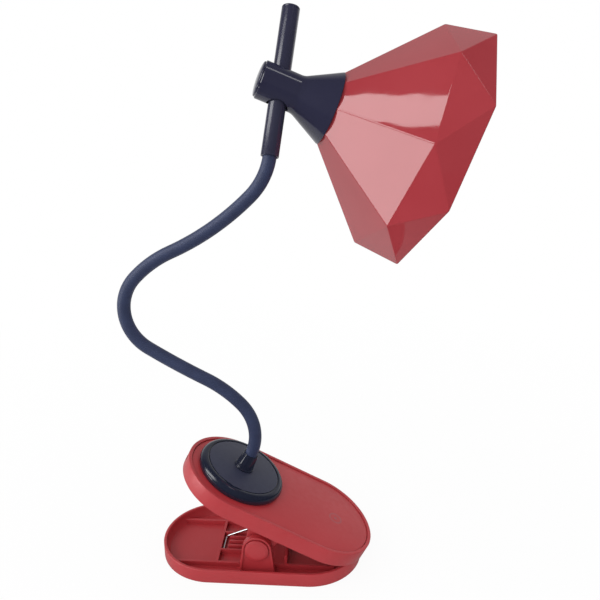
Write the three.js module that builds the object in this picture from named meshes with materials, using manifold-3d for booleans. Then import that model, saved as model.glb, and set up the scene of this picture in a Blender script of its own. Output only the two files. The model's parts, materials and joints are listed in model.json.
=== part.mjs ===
// Clip-on reading lamp: a spring clip with a battery in its upper jaw, a bendable gooseneck,
// a cross rod and an eight-sided faceted shade that slides and turns on the rod.
// Millimetres, +Z up. X runs along the clip from the finger end (-X) to the biting end (+X).
// The origin is the centre of the clip's standing face.

import * as THREE from 'three';
import { mergeVertices } from 'three/addons/utils/BufferGeometryUtils.js';
import Module from 'manifold-3d';

const wasm = await Module();
wasm.setup();

// ---------------------------------------------------------------- driving dimensions

// Clearances and facet counts
const GAP = 0.3; // between parts that rest on each other
const FIT = 0.3; // radial clearance of a shaft in its hole
const WELD = 1e-4;
const ROUND = 20; // sides of a half circle on the large outlines
const DISC_SIDES = 36;
const FINE = 28; // sides of a large turned part
const MEDIUM = 24; // sides of the rod, its holes and the turned parts inside the head
const COARSE = 20; // sides of a boss, a socket or a cap
const SMALL = 10; // sides of a screw, a pin or their holes
const EDGE_STEPS = 4; // facets over a rounded edge
const JOINING = 0.05; // overlap by which small features grow out of a larger one

// Lower jaw
const LOWER_LENGTH = 120;
const JAW_OVERHANG = 0.55; // by which the upper jaw is wider on each side
const LOWER_TOP = 8.6; // rim above the standing surface
const LOWER_FLOOR = 1.6;
const RIM = 1.6; // wall at its top
const WALL_DRAFT = 2.2; // by which the wall is thicker at the floor
const PAD_PROUD = 0.3; // pad below the jaw's underside
const PAD_THICKNESS = 1.2;
const PAD_INSET = 9;
const RIB_TOP = 4.8;
const LONG_RIB_MARGIN = 12; // from the side of the jaw
const TRAY_RIB_X = -25; // rib between the open tray and the spring's seat
const RIB = 1.6;
const LONG_RIB_END = 44;
const CROSS_RIB_X = 15;
const CROSS_RIB_TOP = 10;
const SEAT_RIBS = 5;
const SEAT_RIB_PITCH = 4;
const SEAT_RIB = 1.2;
const SHORT_RIB_FROM = -20.5;
const SHORT_RIB_TO = -10;
const SEAT_END = 1; // of the outer ribs, below the pin

// Hinge of the clip
const PIVOT_X = -0.4;
const PIVOT_Z = 18.6;
const PIN_RADIUS = 2.4;
const EAR_SETBACK = 6.8; // outer face of a lower ear from the side of the jaw
const EAR_THICKNESS = 3.4;
const EAR_RADIUS = 8.4;
const EAR_FOOT = 10.6;
const EAR_EASE = 8; // degrees by which an ear's round stops short of a half circle
const EAR_FACETS = 16;
const JAW_EAR_THICKNESS = 3.0;
const JAW_EAR_RADIUS = 7.4;
const JAW_EAR_ROOT = 12;
const JAW_EAR_FACETS = 12;
const EAR_PLAY = 0.7; // side play between upper and lower ears
const BOSS_RADIUS = 6.8;
const BOSS_RIM = 0.6;
const BOSS_DOME = 1.1;

// Torsion spring
const WIRE_RADIUS = 0.7;
const COIL_RADIUS = 5.4;
const COIL_TURNS = 6;
const COIL_FACETS = 12; // per turn
const COIL_HALF_LENGTH = 6;
const BAIL_REACH = 22.6; // bail from the pin, along the jaw
const BAIL_LENGTH = 12.4;
const SLOT_DEPTH = 0.8;

// Upper jaw, in the frame of the hinge
const JAW_TILT = 26.7; // at rest, with the clip closed
const UPPER_LENGTH = 120.2;
const UPPER_WIDTH = 64.7;
const UPPER_SHIFT = 1.39; // middle of the jaw from the pin, along the jaw
const UPPER_BOTTOM = 15.9; // underside above the pin
const UPPER_HEIGHT = 9.3;
const UPPER_FLOOR = 1.5;
const UPPER_RIM = 2.1;
const UPPER_LEDGE = 1.7;
const COVER_THICKNESS = 1.6;
const COVER_RECESS = 0.6;
const COVER_PLAY = 0.25;
const BITE_GAP = 0.45; // between the closed jaws

// Screws of the cover plate
const SCREW_RADIUS = 1.1;
const SCREW_HEAD_RADIUS = 2.1;
const SCREW_HEAD_HEIGHT = 1.1;
const SCREW_BOSS_RADIUS = 3.2;
const SCREW_BOSS_HEIGHT = 1.6;
const REAR_SCREW_PAST = 9.25; // beyond the jaw's straight side
const REAR_SCREW_INSET = 10.35; // from the side of the jaw
const FRONT_SCREW_INSET = 10.1; // from the end of the jaw
const FRONT_SCREW_SIDE = 9; // from the middle plane

// Mounting disc and socket on the upper jaw
const DISC_INSET = 32.6; // its middle from the end of the jaw
const DISC_RADIUS = 26.5;
const DISC_FLAT_RADIUS = 21.9;
const DISC_TOP = 14.4; // above the upper jaw's underside
const DISC_GROOVE = 0.5;
const GROOVE_WIDTH = 0.7;
const DISC_LAND = 1.4; // groove and flat ring inside the rolled edge
const ROLL_DROP = 0.8; // middle of the rolled edge below half height
const ROLL_UNDERCUT = 0.6;
const SPIGOT_RADIUS = 6;
const NUT_RADIUS = 9.5;
const NUT_HEIGHT = 2.2;
const SOCKET_HEIGHT = 10;
const SOCKET_OVERLAP = 1.5; // of the socket past the place where the neck starts to bend
const SOCKET_FOOT = 0.6;
const SOCKET_BASE_RADIUS = 5.4;
const SOCKET_TOP_RADIUS = 4.45;

// Electronics in the upper jaw
const BATTERY_FRONT_GAP = 4.8; // to the control board
const BATTERY_REAR_GAP = 6; // to the nut
const BATTERY_HEIGHT = 4.4;
const BATTERY_MARGIN = 6.55; // from the inner wall of the jaw, for the lead
const BOARD_THICKNESS = 1.0;
const BOARD_LIFT = 0.9; // above the jaw's floor
const FOOT_WIDTH = 1.5;
const FOOT_INSET = 2; // of a board's feet and leads from its edges
const CONTROL_BOARD = [19, 30];
const CONTROL_INSET = 23.8; // its middle from the end of the jaw
const CHIP = [6, 6, 1];
const USB_BOARD = [15, 15];
const USB_INSET = 13.6; // middle of the small board, from the end of the jaw
const USB_PORT = [7, 7.5, 2.6];
const USB_WALL = 0.5;
const USB_MOUTH = 4.5; // depth of the port's opening
const TOUCH_RADIUS = 4;
const TOUCH_WALL = 0.8;
const LEAD_RADIUS = 0.9;

// Gooseneck: arcs from the socket to the rod, each with its length, its bend towards +X
// in the plane of the clip and its bend to the side, in degrees
const NECK_LENGTHS = [35.7, 24.9, 36.2, 46.6, 25.4, 53.1, 23.2];
const NECK_BENDS = [-69.7, -20.3, 5, 101.6, 21.9, -20.2, -36.5];
const NECK_SIDES = [-1.2, -0.5, -0.1, -0.5, -0.7, -0.9, -18.4];
const SLEEVE_RADIUS = 3.7;
const SLEEVE_BORE = 2.7;
const CORE_RADIUS = 2.2;
const NECK_STEP = 6; // length of one straight facet along the neck
const NECK_LIMIT = 30; // degrees of bend each way at each joint
const NECK_MARGIN = 3; // degrees left free beyond that limit
const TIP_GAP = 0.35; // from the tip of a core to the joint's centre
const NECK_INSERTION = 8; // sleeve inside the rod
const CORE_INSERTION = 10; // core inside the rod
const TIP_ROOT = 0.3; // of a core's tip inside the core
const TIP_STEP = 0.1;

// Rod
const ROD_RADIUS = 4.75;
const ROD_WALL = 0.75;
const ROD_LENGTH = 77.6;
const ROD_CAP_HEIGHT = 1;
const ROD_CAP_PLUG = 5;
const SLOT_WIDTH = 1.8;
const SLIDE_DOWN = 20;
const SLIDE_UP = 26;
const HEAD_HEIGHT = 36.5; // head's centre above the lower end of the rod
const HEAD_TURN = 8; // degrees round the rod at rest

// Head: barrel, cone and shade share one axis
const SHADE_DROOP = 10.4; // head's axis below the square to the rod
const BUSH_WALL = 0.6;
const BUSH_LENGTH = 15;
const BUSH_PLAY = 0.25;
const BARREL_RADIUS = 10;
const BARREL_BACK = 10.7; // end of the barrel behind the rod
const BARREL_FRONT = 10.2; // where the cone begins
const CONE_FRONT = 28.5; // where the shade begins
const CONE_RADIUS = 19.45;
const HOUSING_WALL = 2;
const CAP_DOME = 1.8;
const CAP_SHOULDER = 0.6;
const CAP_PLUG = 2;
const CAP_PLUG_RADIUS = 6.5;
const SHADE_SIDES = 8;
const SHADE_CLOCKING = 16.9; // degrees
const SHADE_NECK_RADIUS = 19.1;
const SHADE_MID_RADIUS = 61.6;
const SHADE_MID = 40.5; // from the cone, along the axis
const SHADE_RIM_RADIUS = 66.8;
const SHADE_DEPTH = 59.9;
const SHADE_WALL = 2.0;
const WEB_THICKNESS = 2;
const WIRE_HOLE = 1.7;
const SINK_STEM_RADIUS = 15.5;
const SINK_RADIUS = 20.6;
const SINK_PLATE = 2;
const SINK_HEIGHT = 6;
const LED_BOARD_RADIUS = 18.6;
const LED_BOARD_THICKNESS = 1.2;
const LED_COUNT = 12;
const LED_CIRCLE = 14.5;
const LED_SIZE = [2.8, 2.8, 0.8];
const DIFFUSER_RADIUS = 20.6;
const DIFFUSER_WALL = 1.4;
const DIFFUSER_SKIRT = 5;
const DIFFUSER_DOME = 3;
const HEAD_SCREWS = 3;
const HEAD_SCREW_CIRCLE = 10.6;
const HEAD_SCREW_LENGTH = 15;
const SCREW_END_ROOM = 2;
const HEAD_BOSS_RADIUS = 2.5;

// ---------------------------------------------------------------- derived sizes

const LOWER_WIDTH = UPPER_WIDTH - 2 * JAW_OVERHANG;
const LONG_RIB_Y = LOWER_WIDTH / 2 - LONG_RIB_MARGIN; // outer face
const SEAT_REACH = ((SEAT_RIBS - 1) / 2) * SEAT_RIB_PITCH; // outer ribs of the seat
const PIN_HOLE = PIN_RADIUS + FIT;
const EAR_OUTER = LOWER_WIDTH / 2 - EAR_SETBACK; // from the middle plane
const EAR_INNER = EAR_OUTER - EAR_THICKNESS;
const JAW_EAR_OUTER = EAR_INNER - EAR_PLAY;
const FLOOR_TOP = PAD_PROUD + LOWER_FLOOR;
const UPPER_FLOOR_TOP = UPPER_BOTTOM + UPPER_FLOOR;
const UPPER_TOP = UPPER_BOTTOM + UPPER_HEIGHT;
const COVER_TOP = UPPER_TOP - COVER_RECESS;
const COVER_BOTTOM = COVER_TOP - COVER_THICKNESS;
const LEDGE_TOP = COVER_BOTTOM - GAP;
const DISC_FACE = UPPER_BOTTOM + DISC_TOP;
const UPPER_END = UPPER_LENGTH / 2; // from the middle of the jaw
const DISC_CENTRE = UPPER_SHIFT + DISC_INSET - UPPER_END;
const NECK_ROOT = DISC_FACE + SOCKET_HEIGHT - SOCKET_OVERLAP;
const CONTROL_CENTRE = UPPER_SHIFT + UPPER_END - CONTROL_INSET;
const USB_CENTRE = UPPER_SHIFT + USB_INSET - UPPER_END;
const BATTERY_REAR = DISC_CENTRE + NUT_RADIUS + BATTERY_REAR_GAP;
const BATTERY_FRONT = CONTROL_CENTRE - CONTROL_BOARD[0] / 2 - BATTERY_FRONT_GAP;
const REAR_SCREW = [
  (UPPER_WIDTH - UPPER_LENGTH) / 2 - REAR_SCREW_PAST,
  UPPER_WIDTH / 2 - REAR_SCREW_INSET,
];
const FRONT_SCREW = [UPPER_END - FRONT_SCREW_INSET, FRONT_SCREW_SIDE];
const NUT_TOP = COVER_BOTTOM - GAP;
const BOARD_BOTTOM = UPPER_FLOOR_TOP + BOARD_LIFT;
const BOARD_TOP = BOARD_BOTTOM + BOARD_THICKNESS;
const ROD_BORE = ROD_RADIUS - ROD_WALL;
const BUSH_BORE = ROD_RADIUS + BUSH_PLAY;
const BUSH_RADIUS = BUSH_BORE + BUSH_WALL;
const BARREL_BORE = BUSH_RADIUS + BUSH_PLAY;
const CORE_HOLE = CORE_RADIUS + FIT;
const WEB_BACK = CONE_FRONT + GAP;
const SINK_BACK = WEB_BACK + WEB_THICKNESS + GAP;
const SINK_FACE = SINK_BACK + SINK_HEIGHT;
const LED_BOARD_BACK = SINK_FACE + GAP;
const LED_BOARD_FACE = LED_BOARD_BACK + LED_BOARD_THICKNESS;
const SCREW_HOLE = SCREW_RADIUS + FIT;
const BATTERY_WIDTH = UPPER_WIDTH - 2 * (UPPER_RIM + UPPER_LEDGE + BATTERY_MARGIN);
const BATTERY = [BATTERY_FRONT - BATTERY_REAR, BATTERY_WIDTH, BATTERY_HEIGHT];

// ---------------------------------------------------------------- helpers

const rad = THREE.MathUtils.degToRad;

function material(color, roughness, metalness = 0) {
  return new THREE.MeshStandardMaterial({ color, roughness, metalness });
}

const RED = () => material(0xa8474a, 0.42);
const RED_GLOSS = () => material(0xb0343c, 0.15);
const NAVY = () => material(0x20242f, 0.22);
const SILICONE = () => material(0x2c3550, 0.75);
const RUBBER = () => material(0x1c1c1e, 0.9);
const STEEL = () => material(0xa9adb2, 0.35, 1);
const CHROME = () => material(0xd8dadd, 0.12, 1);
const ALUMINIUM = () => material(0xc4c7ca, 0.4, 1);
const OPAL = () => material(0xf2f1ec, 0.5);
const BOARD = () => material(0x1f5a38, 0.5);
const FILM = () => material(0x3a6ea5, 0.4);

// A closed solid from a three.js geometry, with its shared corners merged.
function solid(geometry) {
  const bare = geometry.clone();
  bare.deleteAttribute('normal');
  bare.deleteAttribute('uv');
  const welded = mergeVertices(bare, WELD);
  const corners = welded.index.array;
  const triVerts = [];
  for (let i = 0; i < corners.length; i += 3) {
    const [a, b, c] = [corners[i], corners[i + 1], corners[i + 2]];
    if (a !== b && b !== c && c !== a) triVerts.push(a, b, c);
  }
  return new wasm.Manifold(new wasm.Mesh({
    numProp: 3,
    vertProperties: Float32Array.from(welded.attributes.position.array),
    triVerts: Uint32Array.from(triVerts),
  }));
}

function join(...pieces) {
  return pieces.reduce((whole, piece) => whole.add(piece));
}

function cut(body, ...tools) {
  return tools.reduce((whole, tool) => whole.subtract(tool), body);
}

// A named mesh of one solid, hung in a group.
function place(group, name, body, finish) {
  const { numProp, vertProperties, triVerts } = body.getMesh();
  const geometry = new THREE.BufferGeometry();
  geometry.setAttribute('position', new THREE.Float32BufferAttribute(vertProperties, numProp));
  geometry.setIndex(new THREE.Uint32BufferAttribute(triVerts, 1));
  geometry.computeVertexNormals();
  const mesh = new THREE.Mesh(geometry, finish);
  mesh.name = name;
  group.add(mesh);
}

function box([sizeX, sizeY, sizeZ], x, y, z) {
  return solid(new THREE.BoxGeometry(sizeX, sizeY, sizeZ).translate(x, y, z));
}

// A box from one corner to the opposite one.
function block([x0, y0, z0], [x1, y1, z1]) {
  const size = [x1 - x0, y1 - y0, z1 - z0];
  return box(size, (x0 + x1) / 2, (y0 + y1) / 2, (z0 + z1) / 2);
}

// A cylinder along Z between two heights.
function drum(radius, from, to, x = 0, y = 0, sides = SMALL) {
  const geometry = new THREE.CylinderGeometry(radius, radius, to - from, sides);
  return solid(geometry.rotateX(Math.PI / 2).translate(x, y, (from + to) / 2));
}

// A turned body about Z; the profile holds [radius, height] pairs from the bottom up.
function turned(profile, sides = FINE) {
  const points = profile.map(([radius, height]) => new THREE.Vector2(radius, height));
  return solid(new THREE.LatheGeometry(points, sides).rotateX(Math.PI / 2));
}

// [radius, height] pairs of a quarter round from the side (start) to the top (end).
function quarterRound(centreRadius, centreHeight, radius, height, steps) {
  const profile = [];
  for (let i = 0; i <= steps; i += 1) {
    const angle = (Math.PI / 2) * (i / steps);
    profile.push([centreRadius + radius * Math.cos(angle), centreHeight + height * Math.sin(angle)]);
  }
  return profile;
}

function arc(x, y, radius, from, to, steps) {
  const points = [];
  for (let i = 0; i <= steps; i += 1) {
    const angle = rad(from + ((to - from) * i) / steps);
    points.push(new THREE.Vector2(x + radius * Math.cos(angle), y + radius * Math.sin(angle)));
  }
  return points;
}

// The jaw outline: a rectangle with fully round ends, drawn in by an inset.
function stadium(length, width, inset, bottom, top, x = 0) {
  const radius = width / 2 - inset;
  const reach = (length - width) / 2;
  const outline = [
    ...arc(x + reach, 0, radius, -90, 90, ROUND),
    ...arc(x - reach, 0, radius, 90, 270, ROUND),
  ];
  const shape = new THREE.Shape(outline);
  const geometry = new THREE.ExtrudeGeometry(shape, { depth: top - bottom, bevelEnabled: false });
  return solid(geometry.translate(0, 0, bottom));
}

// A plate that stands in the XZ plane between two Y values, from its XZ outline.
function upright(outline, fromY, toY) {
  const shape = new THREE.Shape(outline);
  const geometry = new THREE.ExtrudeGeometry(shape, { depth: toY - fromY, bevelEnabled: false });
  return solid(geometry.rotateX(Math.PI / 2).translate(0, toY, 0));
}

// A cylinder along Y.
function crossDrum(radius, fromY, toY, x, z) {
  const geometry = new THREE.CylinderGeometry(radius, radius, toY - fromY, SMALL);
  return solid(geometry.translate(x, (fromY + toY) / 2, z));
}

// ---------------------------------------------------------------- clip, lower jaw

const lamp = new THREE.Group();

const hinge = new THREE.Group();
hinge.position.set(PIVOT_X, 0, PIVOT_Z);
hinge.rotation.y = rad(JAW_TILT);
lamp.add(hinge);

// An arched ear round the pin, from its foot up.
function lowerEar(outerY, innerY) {
  const outline = [
    new THREE.Vector2(PIVOT_X - EAR_FOOT, FLOOR_TOP - LOWER_FLOOR / 2),
    new THREE.Vector2(PIVOT_X + EAR_FOOT, FLOOR_TOP - LOWER_FLOOR / 2),
    ...arc(PIVOT_X, PIVOT_Z, EAR_RADIUS, EAR_EASE, 180 - EAR_EASE, EAR_FACETS),
  ];
  return upright(outline, Math.min(outerY, innerY), Math.max(outerY, innerY));
}

function lowerJaw() {
  const outer = stadium(LOWER_LENGTH, LOWER_WIDTH, 0, PAD_PROUD, LOWER_TOP);
  const above = LOWER_TOP + 1;
  const room = wasm.Manifold.hull([
    stadium(LOWER_LENGTH, LOWER_WIDTH, RIM, LOWER_TOP, above),
    stadium(LOWER_LENGTH, LOWER_WIDTH, RIM + WALL_DRAFT, FLOOR_TOP, LOWER_TOP),
  ]);
  const half = LOWER_LENGTH / 2;
  const wide = LONG_RIB_Y;
  const low = PAD_PROUD + LOWER_FLOOR / 2;
  const ribs = [
    block([-half, -wide, low], [LONG_RIB_END, RIB - wide, RIB_TOP]),
    block([-half, wide - RIB, low], [LONG_RIB_END, wide, RIB_TOP]),
    block([TRAY_RIB_X - RIB / 2, RIB - wide, low], [TRAY_RIB_X + RIB / 2, wide - RIB, RIB_TOP]),
    block([CROSS_RIB_X, RIB - wide, low], [CROSS_RIB_X + RIB, wide - RIB, CROSS_RIB_TOP]),
  ];
  for (let i = 0; i < SEAT_RIBS; i += 1) {
    const y = i * SEAT_RIB_PITCH - SEAT_REACH;
    const outermost = i % (SEAT_RIBS - 1) === 0;
    const from = outermost ? TRAY_RIB_X : SHORT_RIB_FROM;
    const to = outermost ? SEAT_END : SHORT_RIB_TO;
    ribs.push(block([from, y - SEAT_RIB / 2, low], [to, y + SEAT_RIB / 2, RIB_TOP]));
  }
  const pad = stadium(LOWER_LENGTH, LOWER_WIDTH, PAD_INSET - FIT, 0, PAD_THICKNESS + GAP);
  const bailSlot = block(
    [TRAY_RIB_X + RIB / 2, SEAT_RIB / 2 - SEAT_REACH, FLOOR_TOP - SLOT_DEPTH],
    [PIVOT_X - BAIL_REACH + 2 * WIRE_RADIUS, SEAT_REACH - SEAT_RIB / 2, RIB_TOP + 1],
  );
  const shell = cut(outer, room);
  const fitted = stadium(LOWER_LENGTH, LOWER_WIDTH, RIM, low, CROSS_RIB_TOP).intersect(join(...ribs));
  const ears = join(lowerEar(-EAR_OUTER, -EAR_INNER), lowerEar(EAR_INNER, EAR_OUTER));
  const pinHole = crossDrum(PIN_HOLE, -EAR_OUTER - 1, EAR_OUTER + 1, PIVOT_X, PIVOT_Z);
  const bite = new THREE.BoxGeometry(2 * UPPER_LENGTH, 2 * UPPER_WIDTH, UPPER_BOTTOM);
  bite.translate(0, 0, UPPER_BOTTOM - BITE_GAP + UPPER_BOTTOM / 2);
  bite.rotateY(rad(JAW_TILT)).translate(PIVOT_X, 0, PIVOT_Z);
  return cut(join(shell, fitted, ears), pinHole, pad, bailSlot, solid(bite));
}

place(lamp, 'lower_jaw', lowerJaw(), RED());
place(
  lamp,
  'base_pad',
  stadium(LOWER_LENGTH, LOWER_WIDTH, PAD_INSET, 0, PAD_THICKNESS),
  RUBBER(),
);

place(
  lamp,
  'pivot_pin',
  crossDrum(PIN_RADIUS, -EAR_OUTER, EAR_OUTER, PIVOT_X, PIVOT_Z),
  STEEL(),
);

for (const [name, side] of [['pivot_cap_front', -1], ['pivot_cap_back', 1]]) {
  const profile = [
    [0, 0],
    [BOSS_RADIUS, 0],
    ...quarterRound(0, BOSS_RIM, BOSS_RADIUS, BOSS_DOME, EDGE_STEPS - 1),
  ];
  const cap = new THREE.Group();
  cap.position.set(PIVOT_X, side * (EAR_OUTER + GAP), PIVOT_Z);
  cap.rotation.x = side * -Math.PI / 2;
  lamp.add(cap);
  place(cap, name, turned(profile, COARSE), RED());
}

// ---------------------------------------------------------------- torsion spring

// A bail that lies in the lower jaw, a leg, the coil round the pin, a leg and a bail
// under the upper jaw. Drawn in the XZ plane of the pin with Y along it.
class SpringWire extends THREE.Curve {
  constructor() {
    super();
    const lowerBail = new THREE.Vector2(-BAIL_REACH, FLOOR_TOP + WIRE_RADIUS + GAP - PIVOT_Z);
    const upperBail = new THREE.Vector2(-BAIL_REACH, UPPER_BOTTOM - WIRE_RADIUS - GAP);
    upperBail.rotateAround(new THREE.Vector2(), rad(-JAW_TILT));
    const lowerAngle = this.tangentAngle(lowerBail, -1);
    const upperAngle = this.tangentAngle(upperBail, 1);
    const sweep = upperAngle - lowerAngle + 2 * Math.PI * COIL_TURNS;
    const steps = COIL_FACETS * COIL_TURNS;
    const route = [
      new THREE.Vector3(lowerBail.x, COIL_HALF_LENGTH - BAIL_LENGTH, lowerBail.y),
      new THREE.Vector3(lowerBail.x, COIL_HALF_LENGTH, lowerBail.y),
    ];
    for (let i = 0; i <= steps; i += 1) {
      const angle = lowerAngle + (sweep * i) / steps;
      const y = COIL_HALF_LENGTH - (2 * COIL_HALF_LENGTH * i) / steps;
      route.push(new THREE.Vector3(COIL_RADIUS * Math.cos(angle), y, COIL_RADIUS * Math.sin(angle)));
    }
    route.push(new THREE.Vector3(upperBail.x, -COIL_HALF_LENGTH, upperBail.y));
    route.push(new THREE.Vector3(upperBail.x, BAIL_LENGTH - COIL_HALF_LENGTH, upperBail.y));
    this.route = route;
    this.reach = [0];
    for (let i = 1; i < route.length; i += 1) {
      this.reach.push(this.reach[i - 1] + route[i].distanceTo(route[i - 1]));
    }
  }

  // Angle round the pin at which a line from a point touches the coil.
  tangentAngle(point, side) {
    const distance = point.length();
    return point.angle() - side * Math.acos(COIL_RADIUS / distance);
  }

  getPoint(t, target = new THREE.Vector3()) {
    const at = t * this.reach[this.reach.length - 1];
    let i = 1;
    while (i < this.route.length - 1 && this.reach[i] < at) i += 1;
    const share = (at - this.reach[i - 1]) / (this.reach[i] - this.reach[i - 1]);
    return target.lerpVectors(this.route[i - 1], this.route[i], share);
  }
}

function spring() {
  const section = new THREE.Shape(arc(0, 0, WIRE_RADIUS, 0, 288, 4));
  const path = new SpringWire();
  const geometry = new THREE.ExtrudeGeometry(section, { steps: 110, extrudePath: path });
  return solid(geometry.translate(PIVOT_X, 0, PIVOT_Z));
}

place(lamp, 'clip_spring', spring(), CHROME());

// ---------------------------------------------------------------- clip, upper jaw

function jawEar(innerY, outerY) {
  const outline = [
    new THREE.Vector2(JAW_EAR_ROOT, UPPER_BOTTOM + UPPER_FLOOR / 2),
    new THREE.Vector2(-JAW_EAR_ROOT, UPPER_BOTTOM + UPPER_FLOOR / 2),
    ...arc(0, 0, JAW_EAR_RADIUS, 180 + EAR_EASE, 360 - EAR_EASE, JAW_EAR_FACETS),
  ];
  return upright(outline, innerY, outerY);
}

const SCREWS = [
  [REAR_SCREW[0], -REAR_SCREW[1]],
  REAR_SCREW,
  [FRONT_SCREW[0], -FRONT_SCREW[1]],
  FRONT_SCREW,
].map(([x, y]) => [x + UPPER_SHIFT, y]);

function upperJaw() {
  const outer = stadium(UPPER_LENGTH, UPPER_WIDTH, 0, UPPER_BOTTOM, UPPER_TOP, UPPER_SHIFT);
  const above = UPPER_TOP + 1;
  const mouth = stadium(UPPER_LENGTH, UPPER_WIDTH, UPPER_RIM, LEDGE_TOP, above, UPPER_SHIFT);
  const inset = UPPER_RIM + UPPER_LEDGE;
  const room = stadium(UPPER_LENGTH, UPPER_WIDTH, inset, UPPER_FLOOR_TOP, above, UPPER_SHIFT);
  const inner = JAW_EAR_OUTER - JAW_EAR_THICKNESS;
  const ears = join(jawEar(-JAW_EAR_OUTER, -inner), jawEar(inner, JAW_EAR_OUTER));
  const pinHole = crossDrum(PIN_HOLE, -JAW_EAR_OUTER - 1, JAW_EAR_OUTER + 1, 0, 0);
  let jaw = cut(join(cut(outer, mouth, room), ears), pinHole);
  const bossTop = UPPER_FLOOR_TOP + SCREW_BOSS_HEIGHT;
  for (const [x, y] of SCREWS) {
    const headRoom = UPPER_BOTTOM + SCREW_HEAD_HEIGHT + GAP;
    jaw = jaw.add(drum(SCREW_BOSS_RADIUS, UPPER_BOTTOM + UPPER_FLOOR / 2, bossTop, x, y));
    jaw = jaw.subtract(drum(SCREW_HEAD_RADIUS + FIT, UPPER_BOTTOM - 1, headRoom, x, y));
    jaw = jaw.subtract(drum(SCREW_HOLE, UPPER_BOTTOM - 1, bossTop + 1, x, y));
  }
  const end = UPPER_SHIFT - UPPER_LENGTH / 2;
  const port = [UPPER_RIM + UPPER_LEDGE + 2, USB_PORT[1] + 2 * FIT, USB_PORT[2] + 2 * FIT];
  return cut(jaw, box(port, end + port[0] / 2 - 1, 0, BOARD_TOP + GAP + USB_PORT[2] / 2));
}

function coverPlate() {
  const inset = UPPER_RIM + COVER_PLAY;
  let plate = stadium(UPPER_LENGTH, UPPER_WIDTH, inset, COVER_BOTTOM, COVER_TOP, UPPER_SHIFT);
  const bossBottom = UPPER_FLOOR_TOP + SCREW_BOSS_HEIGHT + GAP;
  for (const [x, y] of SCREWS) {
    plate = plate.add(drum(SCREW_BOSS_RADIUS, bossBottom, COVER_BOTTOM + GAP, x, y));
    plate = plate.subtract(drum(SCREW_HOLE, bossBottom - 1, COVER_BOTTOM, x, y));
  }
  const hole = [SPIGOT_RADIUS + FIT, COVER_BOTTOM - 1, COVER_TOP + 1, DISC_CENTRE, 0, MEDIUM];
  return cut(plate, drum(...hole));
}

// A raised disc with a rolled edge, a groove and a spigot through the cover plate.
function mountingDisc() {
  const seat = COVER_TOP + GAP;
  const edge = DISC_RADIUS - DISC_FLAT_RADIUS - DISC_LAND;
  const middle = (seat + DISC_FACE) / 2 - ROLL_DROP;
  const rise = DISC_FACE - middle;
  const spigotEnd = NUT_TOP - NUT_HEIGHT;
  const profile = [
    [CORE_HOLE, spigotEnd],
    [SPIGOT_RADIUS, spigotEnd],
    [SPIGOT_RADIUS, seat],
    [DISC_RADIUS - ROLL_UNDERCUT, seat],
    ...quarterRound(DISC_RADIUS - edge, middle, edge, rise, EDGE_STEPS),
    [DISC_FLAT_RADIUS + GROOVE_WIDTH, DISC_FACE - DISC_GROOVE],
    [DISC_FLAT_RADIUS, DISC_FACE - DISC_GROOVE],
    [DISC_FLAT_RADIUS, DISC_FACE],
    [CORE_HOLE, DISC_FACE],
    [CORE_HOLE, spigotEnd],
  ];
  return turned(profile, DISC_SIDES).translate([DISC_CENTRE, 0, 0]);
}

function socket() {
  const base = DISC_FACE + GAP;
  const top = DISC_FACE + SOCKET_HEIGHT;
  const profile = [
    [CORE_HOLE, base],
    [SOCKET_BASE_RADIUS, base],
    [SOCKET_BASE_RADIUS, base + SOCKET_FOOT],
    [SOCKET_TOP_RADIUS, top],
    [CORE_HOLE, top],
    [CORE_HOLE, base],
  ];
  return turned(profile, COARSE).translate([DISC_CENTRE, 0, 0]);
}

function nut() {
  const bottom = NUT_TOP - NUT_HEIGHT;
  return cut(
    drum(NUT_RADIUS, bottom, NUT_TOP, DISC_CENTRE, 0, 6),
    drum(SPIGOT_RADIUS + FIT, bottom - 1, NUT_TOP + 1, DISC_CENTRE, 0, MEDIUM),
  );
}

place(hinge, 'upper_jaw', upperJaw(), RED());
place(hinge, 'cover_plate', coverPlate(), RED());
place(hinge, 'mounting_disc', mountingDisc(), NAVY());
place(hinge, 'neck_socket', socket(), NAVY());
place(hinge, 'disc_nut', nut(), STEEL());

SCREWS.forEach(([x, y], i) => {
  const headBottom = UPPER_BOTTOM + GAP / 2;
  const headTop = headBottom + SCREW_HEAD_HEIGHT;
  const head = drum(SCREW_HEAD_RADIUS, headBottom, headTop, x, y);
  const shank = drum(SCREW_RADIUS, headBottom, COVER_BOTTOM - GAP, x, y);
  place(hinge, `cover_screw_${i + 1}`, join(head, shank), STEEL());
});

// ---------------------------------------------------------------- electronics

const batteryX = (BATTERY_REAR + BATTERY_FRONT) / 2;
place(
  hinge,
  'battery',
  box(BATTERY, batteryX, 0, UPPER_FLOOR_TOP + GAP + BATTERY[2] / 2),
  FILM(),
);

// A board on two standing feet.
function board([length, width], x) {
  const foot = [length - 2 * FOOT_INSET, FOOT_WIDTH, BOARD_LIFT];
  const footZ = UPPER_FLOOR_TOP + GAP + BOARD_LIFT / 2;
  return join(
    box([length, width, BOARD_THICKNESS], x, 0, BOARD_BOTTOM + BOARD_THICKNESS / 2),
    box(foot, x, width / 2 - FOOT_INSET, footZ),
    box(foot, x, FOOT_INSET - width / 2, footZ),
  );
}

const chipY = TOUCH_RADIUS + CHIP[1] / 2 + FOOT_INSET;
const chip = box(CHIP, CONTROL_CENTRE, -chipY, BOARD_TOP + CHIP[2] / 2 - JOINING);
place(hinge, 'control_board', join(board(CONTROL_BOARD, CONTROL_CENTRE), chip), BOARD());

const touchTop = COVER_BOTTOM - GAP;
place(
  hinge,
  'touch_spring',
  cut(
    drum(TOUCH_RADIUS, BOARD_TOP + GAP, touchTop, CONTROL_CENTRE, 0, COARSE),
    drum(TOUCH_RADIUS - TOUCH_WALL, BOARD_TOP, touchTop + 1, CONTROL_CENTRE, 0, COARSE),
  ),
  STEEL(),
);

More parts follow.
